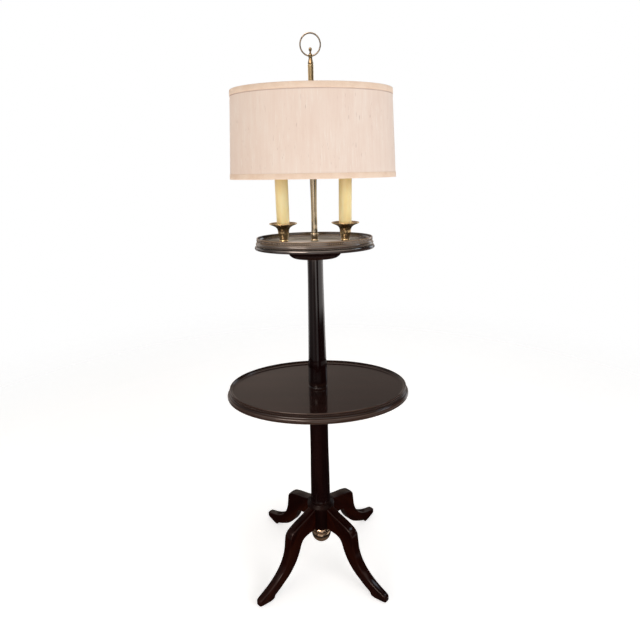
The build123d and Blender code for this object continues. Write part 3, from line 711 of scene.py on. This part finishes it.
def leg(name, angle, seed):
    line, top = leg_outline()
    n = len(line)
    d = np.zeros_like(line)
    d[1:-1] = line[2:] - line[:-2]
    d[0], d[-1] = line[1] - line[0], line[-1] - line[-2]
    d /= np.linalg.norm(d, axis=1)[:, None]
    normal = np.c_[-d[:, 1], d[:, 0]]          # outward: the outline runs clockwise
    rows = []
    for i in range(7):
        f = math.pi / 2 * i / 6
        rows.append((LEG_R * (1 - math.sin(f)), LEG_T / 2 - LEG_R * (1 - math.cos(f)), math.sin(f)))
    rows = [(LEG_R + 2.0, LEG_T / 2, 0.0)] + rows
    side = LEG_T / 2 - LEG_R
    rows += [(0.0, side * k, 0.0) for k in (0.8, 0.6, 0.4, 0.2, 0.0, -0.2, -0.4, -0.6, -0.8)] + [(i, -w, e) for i, w, e in reversed(rows)]
    m = len(rows)
    verts, wear, flat = [], [], []
    c, s = math.cos(angle), math.sin(angle)
    for inset, w, e in rows:
        p = line - normal * (inset + LEG_CROWN * top * (w / (LEG_T / 2)) ** 2)[:, None]
        stop = math.sqrt(39.6 ** 2 - w * w)
        p[0, 0] = stop
        p[-1, 0] = stop
        # narrower and rounded off towards the toe, seen from above
        ww = w * (1 - (1 - TOE_T / LEG_T) * np.clip((p[:, 0] - TAPER_R) / (TOE_END - TAPER_R), 0, 1))
        over = np.abs(ww) - (TOE_T / 2 - TOE_R)
        p[:, 0] = np.where(over > 0, np.minimum(p[:, 0], TOE_END - TOE_R + np.sqrt(np.maximum(0.0, TOE_R ** 2 - over ** 2))), p[:, 0])
        for (r, z), v in zip(p, ww):
            verts.append((r * c - v * s, r * s + v * c, z))
            flat.append((r, z, v))
            wear.append(0.55 if 0.02 < inset < LEG_R - 0.02 else (0.25 if inset <= 0.02 and abs(w) > LEG_T / 3 else -0.1))
    faces = grid_faces(m, n, wrap_cols=False)
    faces.append(tuple(range(n)))
    faces.append(tuple((m - 1) * n + j for j in range(n)))
    for i in range(m - 1):
        faces.append((i * n, (i + 1) * n, (i + 1) * n + n - 1, i * n + n - 1))
    # the grain runs from the knee to the toe
    ax = np.array([145.0, -165.0]) / math.hypot(145.0, 165.0)
    v = np.array(flat)
    g = np.c_[v[:, 0] * ax[0] + v[:, 1] * ax[1], -v[:, 0] * ax[1] + v[:, 1] * ax[0], v[:, 2]] * MM + seed
    return make(name + "_carved", verts, faces, "root", WOOD_LEG, (name,), sharp=60.0,
                attrs={"grain": g, "wear": np.array(wear)})


for i, (name, angle) in enumerate((("leg_front_right", -45), ("leg_front_left", -135), ("leg_rear_right", 45), ("leg_rear_left", 135))):
    leg(name, math.radians(angle), 0.37 * (i + 1))

# ------------------------------------------------------------------ hub, bun, columns
lathe("hub_turned", [[(0.0, 131.0), (38.0, 131.0)], [(38.0, 131.0), (39.4, 131.6), (40.0, 133.0)], [(40.0, 133.0), (40.0, 202.4)],
                     [(40.0, 202.4), (39.2, 204.6), (37.4, 206.8), (35.2, 208.8), (33.2, 210.6), (31.8, 212.2), (31.0, 213.8), (30.8, 215.0)],
                     [(30.8, 215.0), (0.0, 215.0)]],
      "root", WOOD_HUB, ("hub",), soft=0.6, seed=1.3)

lathe("bun_turned", [[(0, 64.5), (8, 65.4), (16, 68.8), (23.0, 75.2), (27.6, 84.0), (29.2, 94.0), (28.4, 100.6), (26.4, 104.8)],
                     [(26.4, 104.8), (26.2, 105.8)],
                     [(26.2, 105.8), (30.2, 108.2), (32.4, 114.2), (30.8, 120.4), (27.6, 123.4)],
                     [(27.6, 123.4), (27.2, 125.0), (27.6, 127.0), (28.8, 128.6)],
                     [(28.8, 128.6), (29.8, 130.0), (29.4, 130.9)],
                     [(29.4, 130.9), (17.0, 130.9)], [(17.0, 130.9), (0.0, 130.9)]],
      "root", BRASS_BUN, ("bun_finial",), step=0.8, soft=0.4)

lathe("lower_column_turned", [[(0, 215.0), (29.0, 215.0)], [(29.0, 215.0), (29.8, 216.0)], [(29.8, 216.0), (29.8, 218.0)],
                              [(29.8, 218.0), (29.2, 222.0), (28.6, 230.0), (28.3, 240.0), (28.1, 258.0), (27.7, 290.0), (27.2, 330.0), (26.4, 370.0),
                               (25.9, 404.0), (25.7, 450.0), (25.8, 510.0), (26.3, 535.0), (27.2, 550.0)], [(27.2, 550.0), (0, 550.0)]],
      "root", WOOD, ("lower_column",), step=5.0, soft=0.5, seed=2.1)

# foot ring, plain lower length, step in, tapered shaft
lathe("upper_column_turned", [[(0, 585.2), (26.2, 585.2)], [(26.2, 585.2), (26.2, 591.4)],
                              [(26.2, 591.4), (25.8, 593.0), (25.0, 594.2)], [(25.0, 594.2), (25.0, 595.0)], [(25.0, 595.0), (25.7, 595.8)],
                              [(25.7, 595.8), (25.8, 597.0), (25.7, 632.0), (25.6, 652.0)],
                              [(25.6, 652.0), (25.2, 660.0), (24.5, 665.6), (24.0, 670.0)],
                              [(24.0, 670.0), (23.3, 700.0), (22.5, 735.0), (21.85, 768.0), (21.25, 801.0), (20.7, 834.0), (20.1, 866.0), (19.75, 897.0),
                               (19.6, 920.0), (19.6, 943.5)], [(19.6, 943.5), (0, 943.5)]],
      "root", WOOD_COLUMN, ("upper_column",), step=4.0, soft=0.4, seed=3.7)

# ------------------------------------------------------------------ table
lathe("table_flange_turned", [[(0, 550.0), (44.0, 550.0)], [(44.0, 550.0), (52.0, 551.4), (60.0, 554.6), (66.0, 559.0), (69.5, 563.0)],
                              [(69.5, 563.0), (76.0, 564.5)], [(76.0, 564.5), (76.0, 570.0)], [(76.0, 570.0), (0, 570.0)]],
      "root", WOOD, ("table_flange",), squash=52.0 / 76.0, grain="x", soft=0.6, seed=4.4)
oval_plate("table_top", 231.0, 154.0, 570.0, 588.0, 0.5, 0.5, "root", WOOD_TOP, ("table_board",), seed=5.2)
Z0, Z1 = 567.0, 595.5
oval_moulding("table_rim_moulded", 231.0, 154.0,
              [[(-0.1, Z0), (-0.1, 588.3)],
               [(-0.1, 588.3), (2.4, 589.1), (4.4, 590.5), (5.7, 592.4), (6.3, Z1 - 0.9)],
               [(6.3, Z1 - 0.9), (6.56, Z1 - 0.26), (7.2, Z1)], [(7.2, Z1), (7.8, Z1)], [(7.8, Z1), (9.36, Z1 - 0.64), (10.0, Z1 - 2.2)],
               [(10.0, Z1 - 2.2), (10.0, Z1 - 3.6)], [(10.0, Z1 - 3.6), (9.2, Z1 - 4.4)], [(9.2, Z1 - 4.4), (9.2, Z0 + 16.4)],
               [(9.2, Z0 + 16.4), (10.2, Z0 + 14.7), (11.6, Z0 + 14.0)],
               [(11.6, Z0 + 14.0), (12.0, Z0 + 14.0)],
               [(12.0, Z0 + 14.0), (14.9, Z0 + 12.5), (16.5, Z0 + 10.0), (17.0, Z0 + 7.0), (16.5, Z0 + 4.0), (14.9, Z0 + 1.5), (12.0, Z0)],
               [(12.0, Z0), (-0.1, Z0)]],
              "root", WOOD_RIM, ("table_rim",), n=420, step=0.8, soft=0.3,
              beads={"pitch": 4.6, "along": 2.05, "high": 3.1, "out": 1.5, "offset": 9.1, "z": Z0 + 20.2}, seed=6.1)

# ------------------------------------------------------------------ tray
lathe("tray_flange_turned", [[(0, 943.5), (46.0, 943.5)], [(46.0, 943.5), (52.0, 944.5), (57.8, 947.1), (62.6, 951.1), (66.0, 956.1), (68.4, 961.9)],
                             [(68.4, 961.9), (70.0, 965.0)], [(70.0, 965.0), (70.0, 969.0)], [(70.0, 969.0), (0, 969.0)]],
      "root", WOOD, ("tray_flange",), squash=0.64, grain="x", soft=0.6, seed=7.5)
oval_plate("tray_base_moulded", 149.0, 97.5, 969.0, 978.5, 3.0, 6.3, "root", WOOD_BASE, ("tray_base",), seed=8.2)
oval_plate("tray_top", 146.0, 94.5, 978.5, 986.5, 3.9, 3.9, "root", WOOD_TRAY, ("tray_board",), seed=9.6)
Z2, Z3 = 986.4, 997.5
oval_moulding("tray_gallery_moulded", 134.5, 83.0,
              [[(0.0, Z2), (0.0, Z2 + 0.5)],
               [(0.0, Z2 + 0.5), (2.2, Z2 + 1.7), (3.9, Z2 + 3.4), (5.1, Z2 + 6.2), (5.6, Z3 - 1.5)],
               [(5.6, Z3 - 1.5), (6.02, Z3 - 0.44), (7.1, Z3)], [(7.1, Z3), (7.4, Z3)],
               [(7.4, Z3), (8.53, Z3 - 0.47), (9.0, Z3 - 1.6)], [(9.0, Z3 - 1.6), (9.0, Z3 - 2.6)], [(9.0, Z3 - 2.6), (8.3, Z3 - 3.3)],
               [(8.3, Z3 - 3.3), (8.3, Z2 + 1.4)], [(8.3, Z2 + 1.4), (9.0, Z2 + 0.8)], [(9.0, Z2 + 0.8), (9.0, Z2)], [(9.0, Z2), (0.0, Z2)]],
              "root", WOOD_GALLERY, ("tray_gallery",), n=320, step=0.7, soft=0.3,
              beads={"pitch": 4.2, "along": 1.85, "high": 2.7, "out": 1.2, "offset": 8.2, "z": Z2 + 4.7}, seed=10.4)

# ------------------------------------------------------------------ candles
Z = 986.5
CUP = [[(0.0, Z), (10.2, Z)], [(10.2, Z), (11.6, Z + 2.2), (10.5, Z + 4.4)],
       [(10.5, Z + 4.4), (10.6, Z + 6.0), (11.3, Z + 9.0), (12.2, Z + 13.0), (13.1, Z + 17.0), (13.6, Z + 20.5), (13.7, Z + 23.5),
        (13.9, Z + 26.5), (14.6, Z + 29.5), (16.0, Z + 32.5), (18.2, Z + 35.0), (21.4, Z + 37.2), (25.4, Z + 39.2),
        (29.4, Z + 40.9), (32.6, Z + 42.2), (34.0, Z + 43.2)],
       [(34.0, Z + 43.2), (34.2, Z + 44.2), (33.6, Z + 44.9)],
       [(33.6, Z + 44.9), (32.0, Z + 44.6), (28.6, Z + 43.0), (24.6, Z + 41.2), (20.6, Z + 39.2), (18.0, Z + 37.9), (16.4, Z + 37.5)],
       [(16.4, Z + 37.5), (0.0, Z + 37.5)]]


def sleeve_shape(phase):
    def f(r, z, t):
        k = 0.10 * math.sin(3 * t + 0.021 * z + phase) + 0.07 * math.sin(5 * t - 0.034 * z + 2 * phase) + 0.05 * math.sin(0.11 * z + t)
        return r + k - 0.15, z
    return f


for side, sx in (("left", -1), ("right", 1)):
    x = sx * 76.3
    lathe("candle_cup_" + side + "_turned", CUP, "root", BRASS, ("candle_cup_" + side,), x=x, segs=96, step=0.8, soft=0.35)
    lathe("candle_sleeve_" + side + "_cast", [[(14.7, 1024.0), (15.875, 1024.0)], [(15.875, 1024.0), (15.875, 1176.0)],
                                             [(15.875, 1176.0), (14.7, 1176.0)], [(14.7, 1176.0), (14.7, 1024.0)]],
          "root", CANDLE, ("candle_sleeve_" + side,), x=x, segs=64, step=3.0, soft=0.5, closed=True, shape=sleeve_shape(1.3 * sx))
    lathe("bulb_glass_" + side + "_blown", [[(0, 1177.0), (12.4, 1177.0)],
                                           [(12.4, 1177.0), (12.7, 1179.0), (13.6, 1184.0), (15.2, 1190.0), (16.6, 1197.0), (17.4, 1204.5), (17.4, 1212.0),
                                            (16.5, 1220.0), (14.8, 1228.0), (12.4, 1236.0), (9.4, 1243.5), (6.2, 1249.0), (3.2, 1252.4), (0, 1254.0)]],
          "bulb_" + side, FROST, ("bulb_glass_" + side,), x=x, segs=64, step=1.5, soft=0.3)

# ------------------------------------------------------------------ centre rod and finial
lathe("rod_base_turned", [[(0, Z), (9.6, Z)], [(9.6, Z), (10.4, Z + 0.9)], [(10.4, Z + 0.9), (10.4, Z + 3.0)], [(10.4, Z + 3.0), (9.6, Z + 4.0)],
                          [(9.6, Z + 4.0), (8.8, Z + 5.0), (8.4, Z + 7.5), (8.3, Z + 10.5), (8.5, Z + 13.2)],
                          [(8.5, Z + 13.2), (9.3, Z + 14.6), (9.6, Z + 16.4), (9.3, Z + 18.4), (8.5, Z + 19.6)], [(8.5, Z + 19.6), (0, Z + 19.6)]],
      "root", BRASS_ROD, ("rod_base",), segs=72, step=0.6, soft=0.25)
lathe("centre_rod_turned", [[(0, 1006.1), (7.9, 1006.1)], [(7.9, 1006.1), (8.1, 1007.6), (7.8, 1012.1), (7.5, 1024.0), (7.2, 1040.0), (7.1, 1055.0), (7.2, 1075.0),
                            (7.5, 1095.0), (7.9, 1115.0), (8.3, 1135.0), (8.6, 1150.0), (8.9, 1160.0), (9.4, 1166.0)],
                            [(9.4, 1166.0), (9.5, 1169.0), (8.6, 1171.0), (6.8, 1172.0)], [(6.8, 1172.0), (0, 1172.0)]],
      "root", BRASS_ROD, ("centre_rod",), segs=64, step=1.5, soft=0.3)
lathe("shade_rest_tube_turned", [[(4.85, 1172.0), (5.6, 1172.0)], [(5.6, 1172.0), (5.6, 1305.8)], [(5.6, 1305.8), (7.4, 1307.8), (8.2, 1309.4)], [(8.2, 1309.4), (8.2, 1311.8)],
                                 [(8.2, 1311.8), (4.85, 1311.8)], [(4.85, 1311.8), (4.85, 1172.0)]],
      "root", BRASS, ("shade_rest_tube",), segs=64, step=2.0, soft=0.3, closed=True)
FZ = 1314.6
lathe("finial_stem_turned", [[(4.86, FZ), (7.6, FZ)], [(7.6, FZ), (8.0, FZ + 0.8)], [(8.0, FZ + 0.8), (8.0, FZ + 2.6)], [(8.0, FZ + 2.6), (7.0, FZ + 3.6), (6.3, FZ + 5.0)],
                             [(6.3, FZ + 5.0), (6.2, 1330.0), (6.2, 1345.0), (6.25, 1360.0), (6.4, 1372.0)], [(6.4, 1372.0), (6.5, 1374.6)],
                             [(6.5, 1374.6), (6.5, 1376.6)], [(6.5, 1376.6), (4.86, 1376.6)], [(4.86, 1376.6), (4.86, FZ)]],
      "finial", BRASS_FINIAL, ("finial_stem",), segs=64, step=1.0, soft=0.25, closed=True)
lathe("finial_tip_turned", [[(0, 1376.6), (5.2, 1376.6)], [(5.2, 1376.6), (5.2, 1377.6)], [(5.2, 1377.6), (6.0, 1378.4), (6.2, 1379.6), (5.9, 1380.8), (5.5, 1382.4), (5.0, 1384.6), (4.4, 1387.0), (3.9, 1389.4)],
                            [(3.9, 1389.4), (4.4, 1391.4), (4.7, 1393.0), (4.7, 1394.6), (4.2, 1396.4), (3.1, 1397.8), (2.3, 1399.0), (1.9, 1400.6), (1.7, 1402.4)],
                            [(1.7, 1402.4), (3.0, 1404.0), (3.6, 1406.4), (3.0, 1409.0), (1.4, 1410.2), (0, 1410.4)]],
      "finial", BRASS_TIP, ("finial_tip",), segs=64, step=0.4, soft=0.2)


def torus(name, radius, wire, z, body, material, replaces):
    n, m = 128, 20
    verts = []
    for i in range(n):
        a = 2 * math.pi * i / n
        for j in range(m):
            b = 2 * math.pi * j / m
            r = radius + wire * math.cos(b)
            verts.append((r * math.cos(a), wire * math.sin(b), z + r * math.sin(a)))
    faces = grid_faces(n, m, wrap_rows=True)
    wear = [0.25 * math.cos(2 * math.pi * j / m) for i in range(n) for j in range(m)]
    return make(name, verts, faces, body, material, replaces, attrs={"wear": np.array(wear), "grain": np.array(verts) * MM})


torus("finial_ring_bent", 22.3, 1.6, 1416.0, "finial", BRASS_RING, ("finial_ring",))

# ------------------------------------------------------------------ shade
SH_Z0, SH_Z1 = 1136.0, 1326.0
SH_A0, SH_B0, SH_A1, SH_B1 = 196.2, 124.2, 183.0, 115.4
SH_N = 360


def shade_at(z, out):
    k = (z - SH_Z0) / (SH_Z1 - SH_Z0)
    return SH_A0 + (SH_A1 - SH_A0) * k + out, SH_B0 + (SH_B1 - SH_B0) * k + out


def shade_band(name, section, material, replaces, inner_rows=(), ripple=0.0):
    """A closed (offset, height) section round the tapered oval. The section's rows in inner_rows take the second material."""
    p0, nn, s, total = oval_ring(SH_A0, SH_B0, SH_N)
    ang = np.arctan2(p0[:, 1] / SH_B0, p0[:, 0] / SH_A0)
    verts, cloth = [], []
    m = len(section)
    run = 0.0
    for i, (o, z) in enumerate(section):
        if i:
            run += math.dist(section[i - 1], section[i])
        a, b = shade_at(z, 0.0)
        for j in range(SH_N):
            t = ang[j]
            wob = ripple * (math.sin(9 * t + 0.8) * 0.5 + math.sin(17 * t + 0.05 * z) * 0.3 + math.sin(4 * t - 0.02 * z) * 0.4)
            fade = math.sin(math.pi * min(1.0, max(0.0, (z - SH_Z0) / (SH_Z1 - SH_Z0))))
            oo = o + wob * fade
            verts.append((a * math.cos(t) + nn[j, 0] * oo, b * math.sin(t) + nn[j, 1] * oo, z))
            cloth.append((s[j] * MM, z * MM, 0.0))
    faces = grid_faces(m, SH_N, wrap_rows=True)
    fm = None
    if isinstance(material, (list, tuple)):
        fm = [1 if (i // SH_N) in inner_rows else 0 for i in range(len(faces))]
    return make(name, verts, faces, "shade", material, replaces, sharp=50.0, attrs={"cloth": np.array(cloth)}, face_mat=fm)


zs = [SH_Z0 + (SH_Z1 - SH_Z0) * i / 24 for i in range(25)]
sec = [(0.0, z) for z in zs] + [(-1.4, z) for z in reversed(zs)]
skin = shade_band("shade_silk_drum", sec, [SILK, LINER], ("shade_skin",), inner_rows=set(range(25, 49)), ripple=0.12)

TR = 12.0


def tape_section(z_edge, sign):
    """Tape folded over the edge: outside 12 mm, over the wire, and 7 mm down the inside. sign is +1 at the top."""
    outer = [(0.02, z_edge - sign * TR)]
    outer += [(0.55, z_edge - sign * (TR - 0.25)), (0.8, z_edge - sign * (TR - 0.9)), (0.85, z_edge - sign * (TR * 0.5)), (0.8, z_edge - sign * 1.2)]
    outer += [(0.45, z_edge - sign * 0.25), (-0.2, z_edge + sign * 0.15), (-1.2, z_edge + sign * 0.15), (-1.95, z_edge - sign * 0.25), (-2.2, z_edge - sign * 1.0)]
    outer += [(-2.2, z_edge - sign * 6.6), (-2.0, z_edge - sign * 7.0), (-1.42, z_edge - sign * 7.0)]
    outer += [(-1.42, z_edge - sign * 0.12), (0.02, z_edge - sign * 0.12)]
    return outer


top_tape = shade_band("shade_tape_top", tape_section(SH_Z1, 1), TAPE, ("shade_trim_top",))
low_tape = shade_band("shade_tape_bottom", tape_section(SH_Z0, -1), TAPE, ("shade_trim_bottom",))

# ------------------------------------------------------------------ CAD pieces that stay
for n, m in (("leg_dowels", BEECH), ("tie_washer", STEEL), ("tie_nut", STEEL), ("tie_rod", STEEL), ("cord_bushing", PHENOLIC),
             ("table_screws", STEEL), ("tray_screws", STEEL), ("socket_nipple_left", STEEL), ("socket_nipple_right", STEEL),
             ("socket_nuts", STEEL), ("socket_left", PHENOLIC), ("socket_right", PHENOLIC), ("shade_pipe", STEEL),
             ("shade_ring_top", WIRE), ("shade_ring_bottom", WIRE), ("shade_spider", WIRE), ("bulb_cap_left", CAP), ("bulb_cap_right", CAP)):
    me = nodes[n].data
    me.materials.clear()
    me.materials.append(m)

# ------------------------------------------------------------------ floor, light


def floor():
    rings, n, rmax = 24, 96, 3200.0
    verts = [(0, 0, 0)]
    for i in range(1, rings + 1):
        r = rmax * i / rings
        for j in range(n):
            t = 2 * math.pi * j / n
            verts.append((r * math.cos(t), r * math.sin(t), 0))
    faces = [(0, 1 + j, 1 + (j + 1) % n) for j in range(n)] + grid_faces(rings, n, base=1)
    me = bpy.data.meshes.new("floor")
    me.from_pydata([tuple(c * MM for c in v) for v in verts], [], faces)
    k = Net("floor_pale")
    vec = k.object()
    c = k.noise(k.mapped(vec, (3, 3, 3)), 1.0, 3.0)
    k.link(k.mix(c, (0.86, 0.855, 0.85), (0.90, 0.897, 0.893)), k.b.inputs["Base Color"])
    k.set(Roughness=0.9, Specular_IOR_Level=0.1, Emission_Strength=0.56)
    k.b.inputs["Emission Color"].default_value = (1.0, 0.995, 0.99, 1.0)
    far = k.node("ShaderNodeVectorMath", operation="LENGTH")
    k.link(vec, far.inputs[0])
    k.link(k.span(far.outputs["Value"], 0.9, 2.9, 1.0, 0.0, True), k.b.inputs["Alpha"])
    me.materials.append(k.m)
    ob = bpy.data.objects.new("floor", me)
    scene.collection.objects.link(ob)
    ob.visible_glossy = False


floor()

world = bpy.data.worlds.new("studio")
scene.world = world
world.use_nodes = True
wt = world.node_tree
wt.nodes.clear()


def wn(kind, **props):
    n = wt.nodes.new(kind)
    for k, v in props.items():
        setattr(n, k, v)
    return n


def wput(socket, value):
    if hasattr(value, "is_output"):
        wt.links.new(value, socket)
    else:
        socket.default_value = value


def wmath(op, a, b=0.0):
    n = wn("ShaderNodeMath", operation=op)
    wput(n.inputs[0], a)
    wput(n.inputs[1], b)
    return n.outputs[0]


def wspan(v, lo, hi, a=0.0, b=1.0):
    n = wn("ShaderNodeMapRange", interpolation_type="SMOOTHSTEP")
    wput(n.inputs["Value"], v)
    n.inputs["From Min"].default_value = lo
    n.inputs["From Max"].default_value = hi
    n.inputs["To Min"].default_value = a
    n.inputs["To Max"].default_value = b
    return n.outputs["Result"]


def wband(v, lo0, lo1, hi0, hi1):
    """One between lo1 and hi0, falling to nothing at lo0 and hi1."""
    return wmath("MULTIPLY", wspan(v, lo0, lo1), wspan(v, hi0, hi1, 1.0, 0.0))


def wadd(*values):
    total = values[0]
    for v in values[1:]:
        total = wmath("ADD", total, v)
    return total


w_sep = wn("ShaderNodeSeparateXYZ")
wt.links.new(wn("ShaderNodeTexCoord").outputs["Generated"], w_sep.inputs[0])
w_x, w_y, up = w_sep.outputs["X"], w_sep.outputs["Y"], w_sep.outputs["Z"]
# degrees round from the front, to the right positive, and from the back
turn = wmath("MULTIPLY", wmath("ARCTAN2", w_x, wmath("MULTIPLY", w_y, -1.0)), 57.29578)
back = wmath("MULTIPLY", wmath("ABSOLUTE", wmath("ARCTAN2", w_x, w_y)), 57.29578)

# what the lacquer and the brass mirror: something white and low at the right with a bluish window above it, a dim room
# with a smaller window at the left, a lit wall at the front left, a narrow lit gap in front, a warm grey wall behind,
# a dim ceiling with one warm lamp at the front left, and a warm patch of floor straight below
right = wmath("MULTIPLY", wband(turn, 34, 50, 104, 140), wband(up, -0.290, -0.256, -0.15, -0.07))
left = wmath("MULTIPLY", wband(turn, -158, -140, -44, -26), wspan(up, -0.46, -0.25))
left_window = wmath("MULTIPLY", wband(turn, -146, -134, -104, -90), wband(up, 0.06, 0.16, 0.40, 0.50))
near_left = wmath("MULTIPLY", wband(turn, -64, -50, -8, 4), wadd(wmath("MULTIPLY", wband(up, -0.18, -0.06, 0.35, 0.50), 0.48),
                                                               wmath("MULTIPLY", wband(up, -0.56, -0.40, -0.18, -0.06), 0.14)))
gap = wmath("MULTIPLY", wband(turn, -9, -2, 12, 20), wadd(wband(up, -0.290, -0.245, -0.10, -0.02), wmath("MULTIPLY", wband(up, -0.46, -0.42, -0.290, -0.245), 0.3)))
rear = wmath("MULTIPLY", wmath("MULTIPLY", wspan(back, 40, 64, 1.0, 0.0), wband(up, 0.0, 0.06, 0.50, 0.62)), wspan(w_x, -0.12, 0.12, 1.18, 0.84))
front_band = wmath("MULTIPLY", wband(turn, -58, -42, 4, 20), wband(up, -0.21, -0.18, -0.13, -0.10))
far_right = wmath("MULTIPLY", wband(turn, 114, 124, 140, 150), wband(up, -0.42, -0.34, -0.10, -0.02))
far_left = wmath("MULTIPLY", wband(turn, -150, -140, -124, -114), wband(up, -0.42, -0.34, -0.10, -0.02))
rear_low = wmath("MULTIPLY", wspan(back, 40, 64, 1.0, 0.0), wband(up, 0.0, 0.06, 0.24, 0.34))
rear_high = wmath("MULTIPLY", wmath("MULTIPLY", wband(w_x, -0.28, -0.18, 0.18, 0.28), wband(up, 0.50, 0.62, 0.96, 0.999)), wspan(w_y, -0.02, 0.06, 0.0, 1.0))
front_mid = wmath("MULTIPLY", wband(turn, -12, -2, 30, 44), wband(up, 0.02, 0.10, 0.36, 0.50))
ceiling = wmath("MULTIPLY", wband(up, 0.50, 0.66, 0.80, 0.88), wspan(w_y, -0.20, 0.0, 1.0, 0.0))
lamp = wmath("MULTIPLY", wband(turn, -46, -36, -18, -8), wband(up, 0.50, 0.57, 0.74, 0.82))
zenith = wmath("MULTIPLY", wband(up, 0.80, 0.88, 1.2, 1.3), wspan(w_y, -0.20, 0.10, 1.0, 0.0))
below = wspan(up, -0.84, -0.70, 1.0, 0.0)
base = wspan(up, -0.40, 0.05, 0.012, 0.06)
shine = wadd(wmath("MULTIPLY", right, 1.6), wmath("MULTIPLY", left, 0.20), wmath("MULTIPLY", left_window, 0.7), near_left, wmath("MULTIPLY", gap, 1.4), wmath("MULTIPLY", front_mid, 0.6), wmath("MULTIPLY", far_right, 1.6), wmath("MULTIPLY", far_left, 0.7), base)
w_cool = wn("ShaderNodeBackground")
w_cool.inputs["Color"].default_value = (1.0, 0.95, 0.92, 1.0)
wt.links.new(shine, w_cool.inputs["Strength"])
w_warm = wn("ShaderNodeBackground")
w_warm.inputs["Color"].default_value = (1.0, 0.81, 0.69, 1.0)
wt.links.new(wadd(wmath("MULTIPLY", rear, 0.355), wmath("MULTIPLY", front_band, 0.9), wmath("MULTIPLY", rear_low, 0.24), wmath("MULTIPLY", rear_high, 1.1), wmath("MULTIPLY", ceiling, 1.4), wmath("MULTIPLY", zenith, 1.8), wmath("MULTIPLY", lamp, 13.0), wmath("MULTIPLY", below, 0.16)), w_warm.inputs["Strength"])
w_window = wn("ShaderNodeBackground")
w_window.inputs["Color"].default_value = (0.76, 0.88, 1.0, 1.0)
upper_pane = wmath("MULTIPLY", wband(turn, 94, 102, 114, 122), wband(up, 0.72, 0.77, 0.83, 0.88))
far_pane = wmath("MULTIPLY", wband(turn, 112, 120, 136, 146), wband(up, 0.04, 0.14, 0.40, 0.50))
wt.links.new(wadd(wmath("MULTIPLY", upper_pane, 5.0), wmath("MULTIPLY", far_pane, 1.6)), w_window.inputs["Strength"])
w_pair = wn("ShaderNodeAddShader")
wt.links.new(w_cool.outputs[0], w_pair.inputs[0])
wt.links.new(w_warm.outputs[0], w_pair.inputs[1])
w_shine = wn("ShaderNodeAddShader")
wt.links.new(w_pair.outputs[0], w_shine.inputs[0])
wt.links.new(w_window.outputs[0], w_shine.inputs[1])

# soft light from all round for the matt surfaces
w_soft = wn("ShaderNodeBackground")
w_soft.inputs["Color"].default_value = (1.0, 0.985, 0.965, 1.0)
wt.links.new(wspan(up, -0.3, 0.6, 0.24, 0.28), w_soft.inputs["Strength"])

w_cam = wn("ShaderNodeBackground")
w_cam.inputs["Color"].default_value = (1.0, 1.0, 1.0, 1.0)
w_cam.inputs["Strength"].default_value = 1.0

w_path = wn("ShaderNodeLightPath")
w_mix = wn("ShaderNodeMixShader")
wt.links.new(w_path.outputs["Is Glossy Ray"], w_mix.inputs["Fac"])
wt.links.new(w_soft.outputs[0], w_mix.inputs[1])
wt.links.new(w_shine.outputs[0], w_mix.inputs[2])
w_seen = wn("ShaderNodeMixShader")
wt.links.new(w_path.outputs["Is Camera Ray"], w_seen.inputs["Fac"])
wt.links.new(w_mix.outputs[0], w_seen.inputs[1])
wt.links.new(w_cam.outputs[0], w_seen.inputs[2])
wt.links.new(w_seen.outputs[0], wn("ShaderNodeOutputWorld").inputs["Surface"])


def area(name, place, target, size, power, colour, mirrored=False):
    d = bpy.data.lights.new(name, "AREA")
    d.shape = "RECTANGLE"
    d.size, d.size_y = size
    d.energy = power
    d.color = colour
    o = bpy.data.objects.new(name, d)
    scene.collection.objects.link(o)
    o.location = place
    o.rotation_euler = (Vector(target) - Vector(place)).to_track_quat("-Z", "Y").to_euler()
    o.visible_glossy = mirrored


area("key", (1.8, -1.6, 1.40), (0, 0, 1.0), (1.5, 1.5), 30.0, (1.0, 0.995, 1.0))
area("fill", (-2.0, -1.3, 1.20), (0, 0, 1.0), (1.6, 1.6), 21.5, (1.0, 0.925, 0.850))
area("front", (-0.45, -2.3, 0.66), (0, 0, 1.0), (1.4, 1.0), 5.5, (1.0, 0.975, 0.94))
area("back", (0.5, 2.3, 1.5), (0, 0, 1.1), (1.6, 1.4), 4.5, (1.0, 0.98, 0.96))
area("top", (0.0, 0.3, 3.0), (0, 0, 0.5), (1.6, 1.2), 8.0, (1.0, 0.99, 0.98))
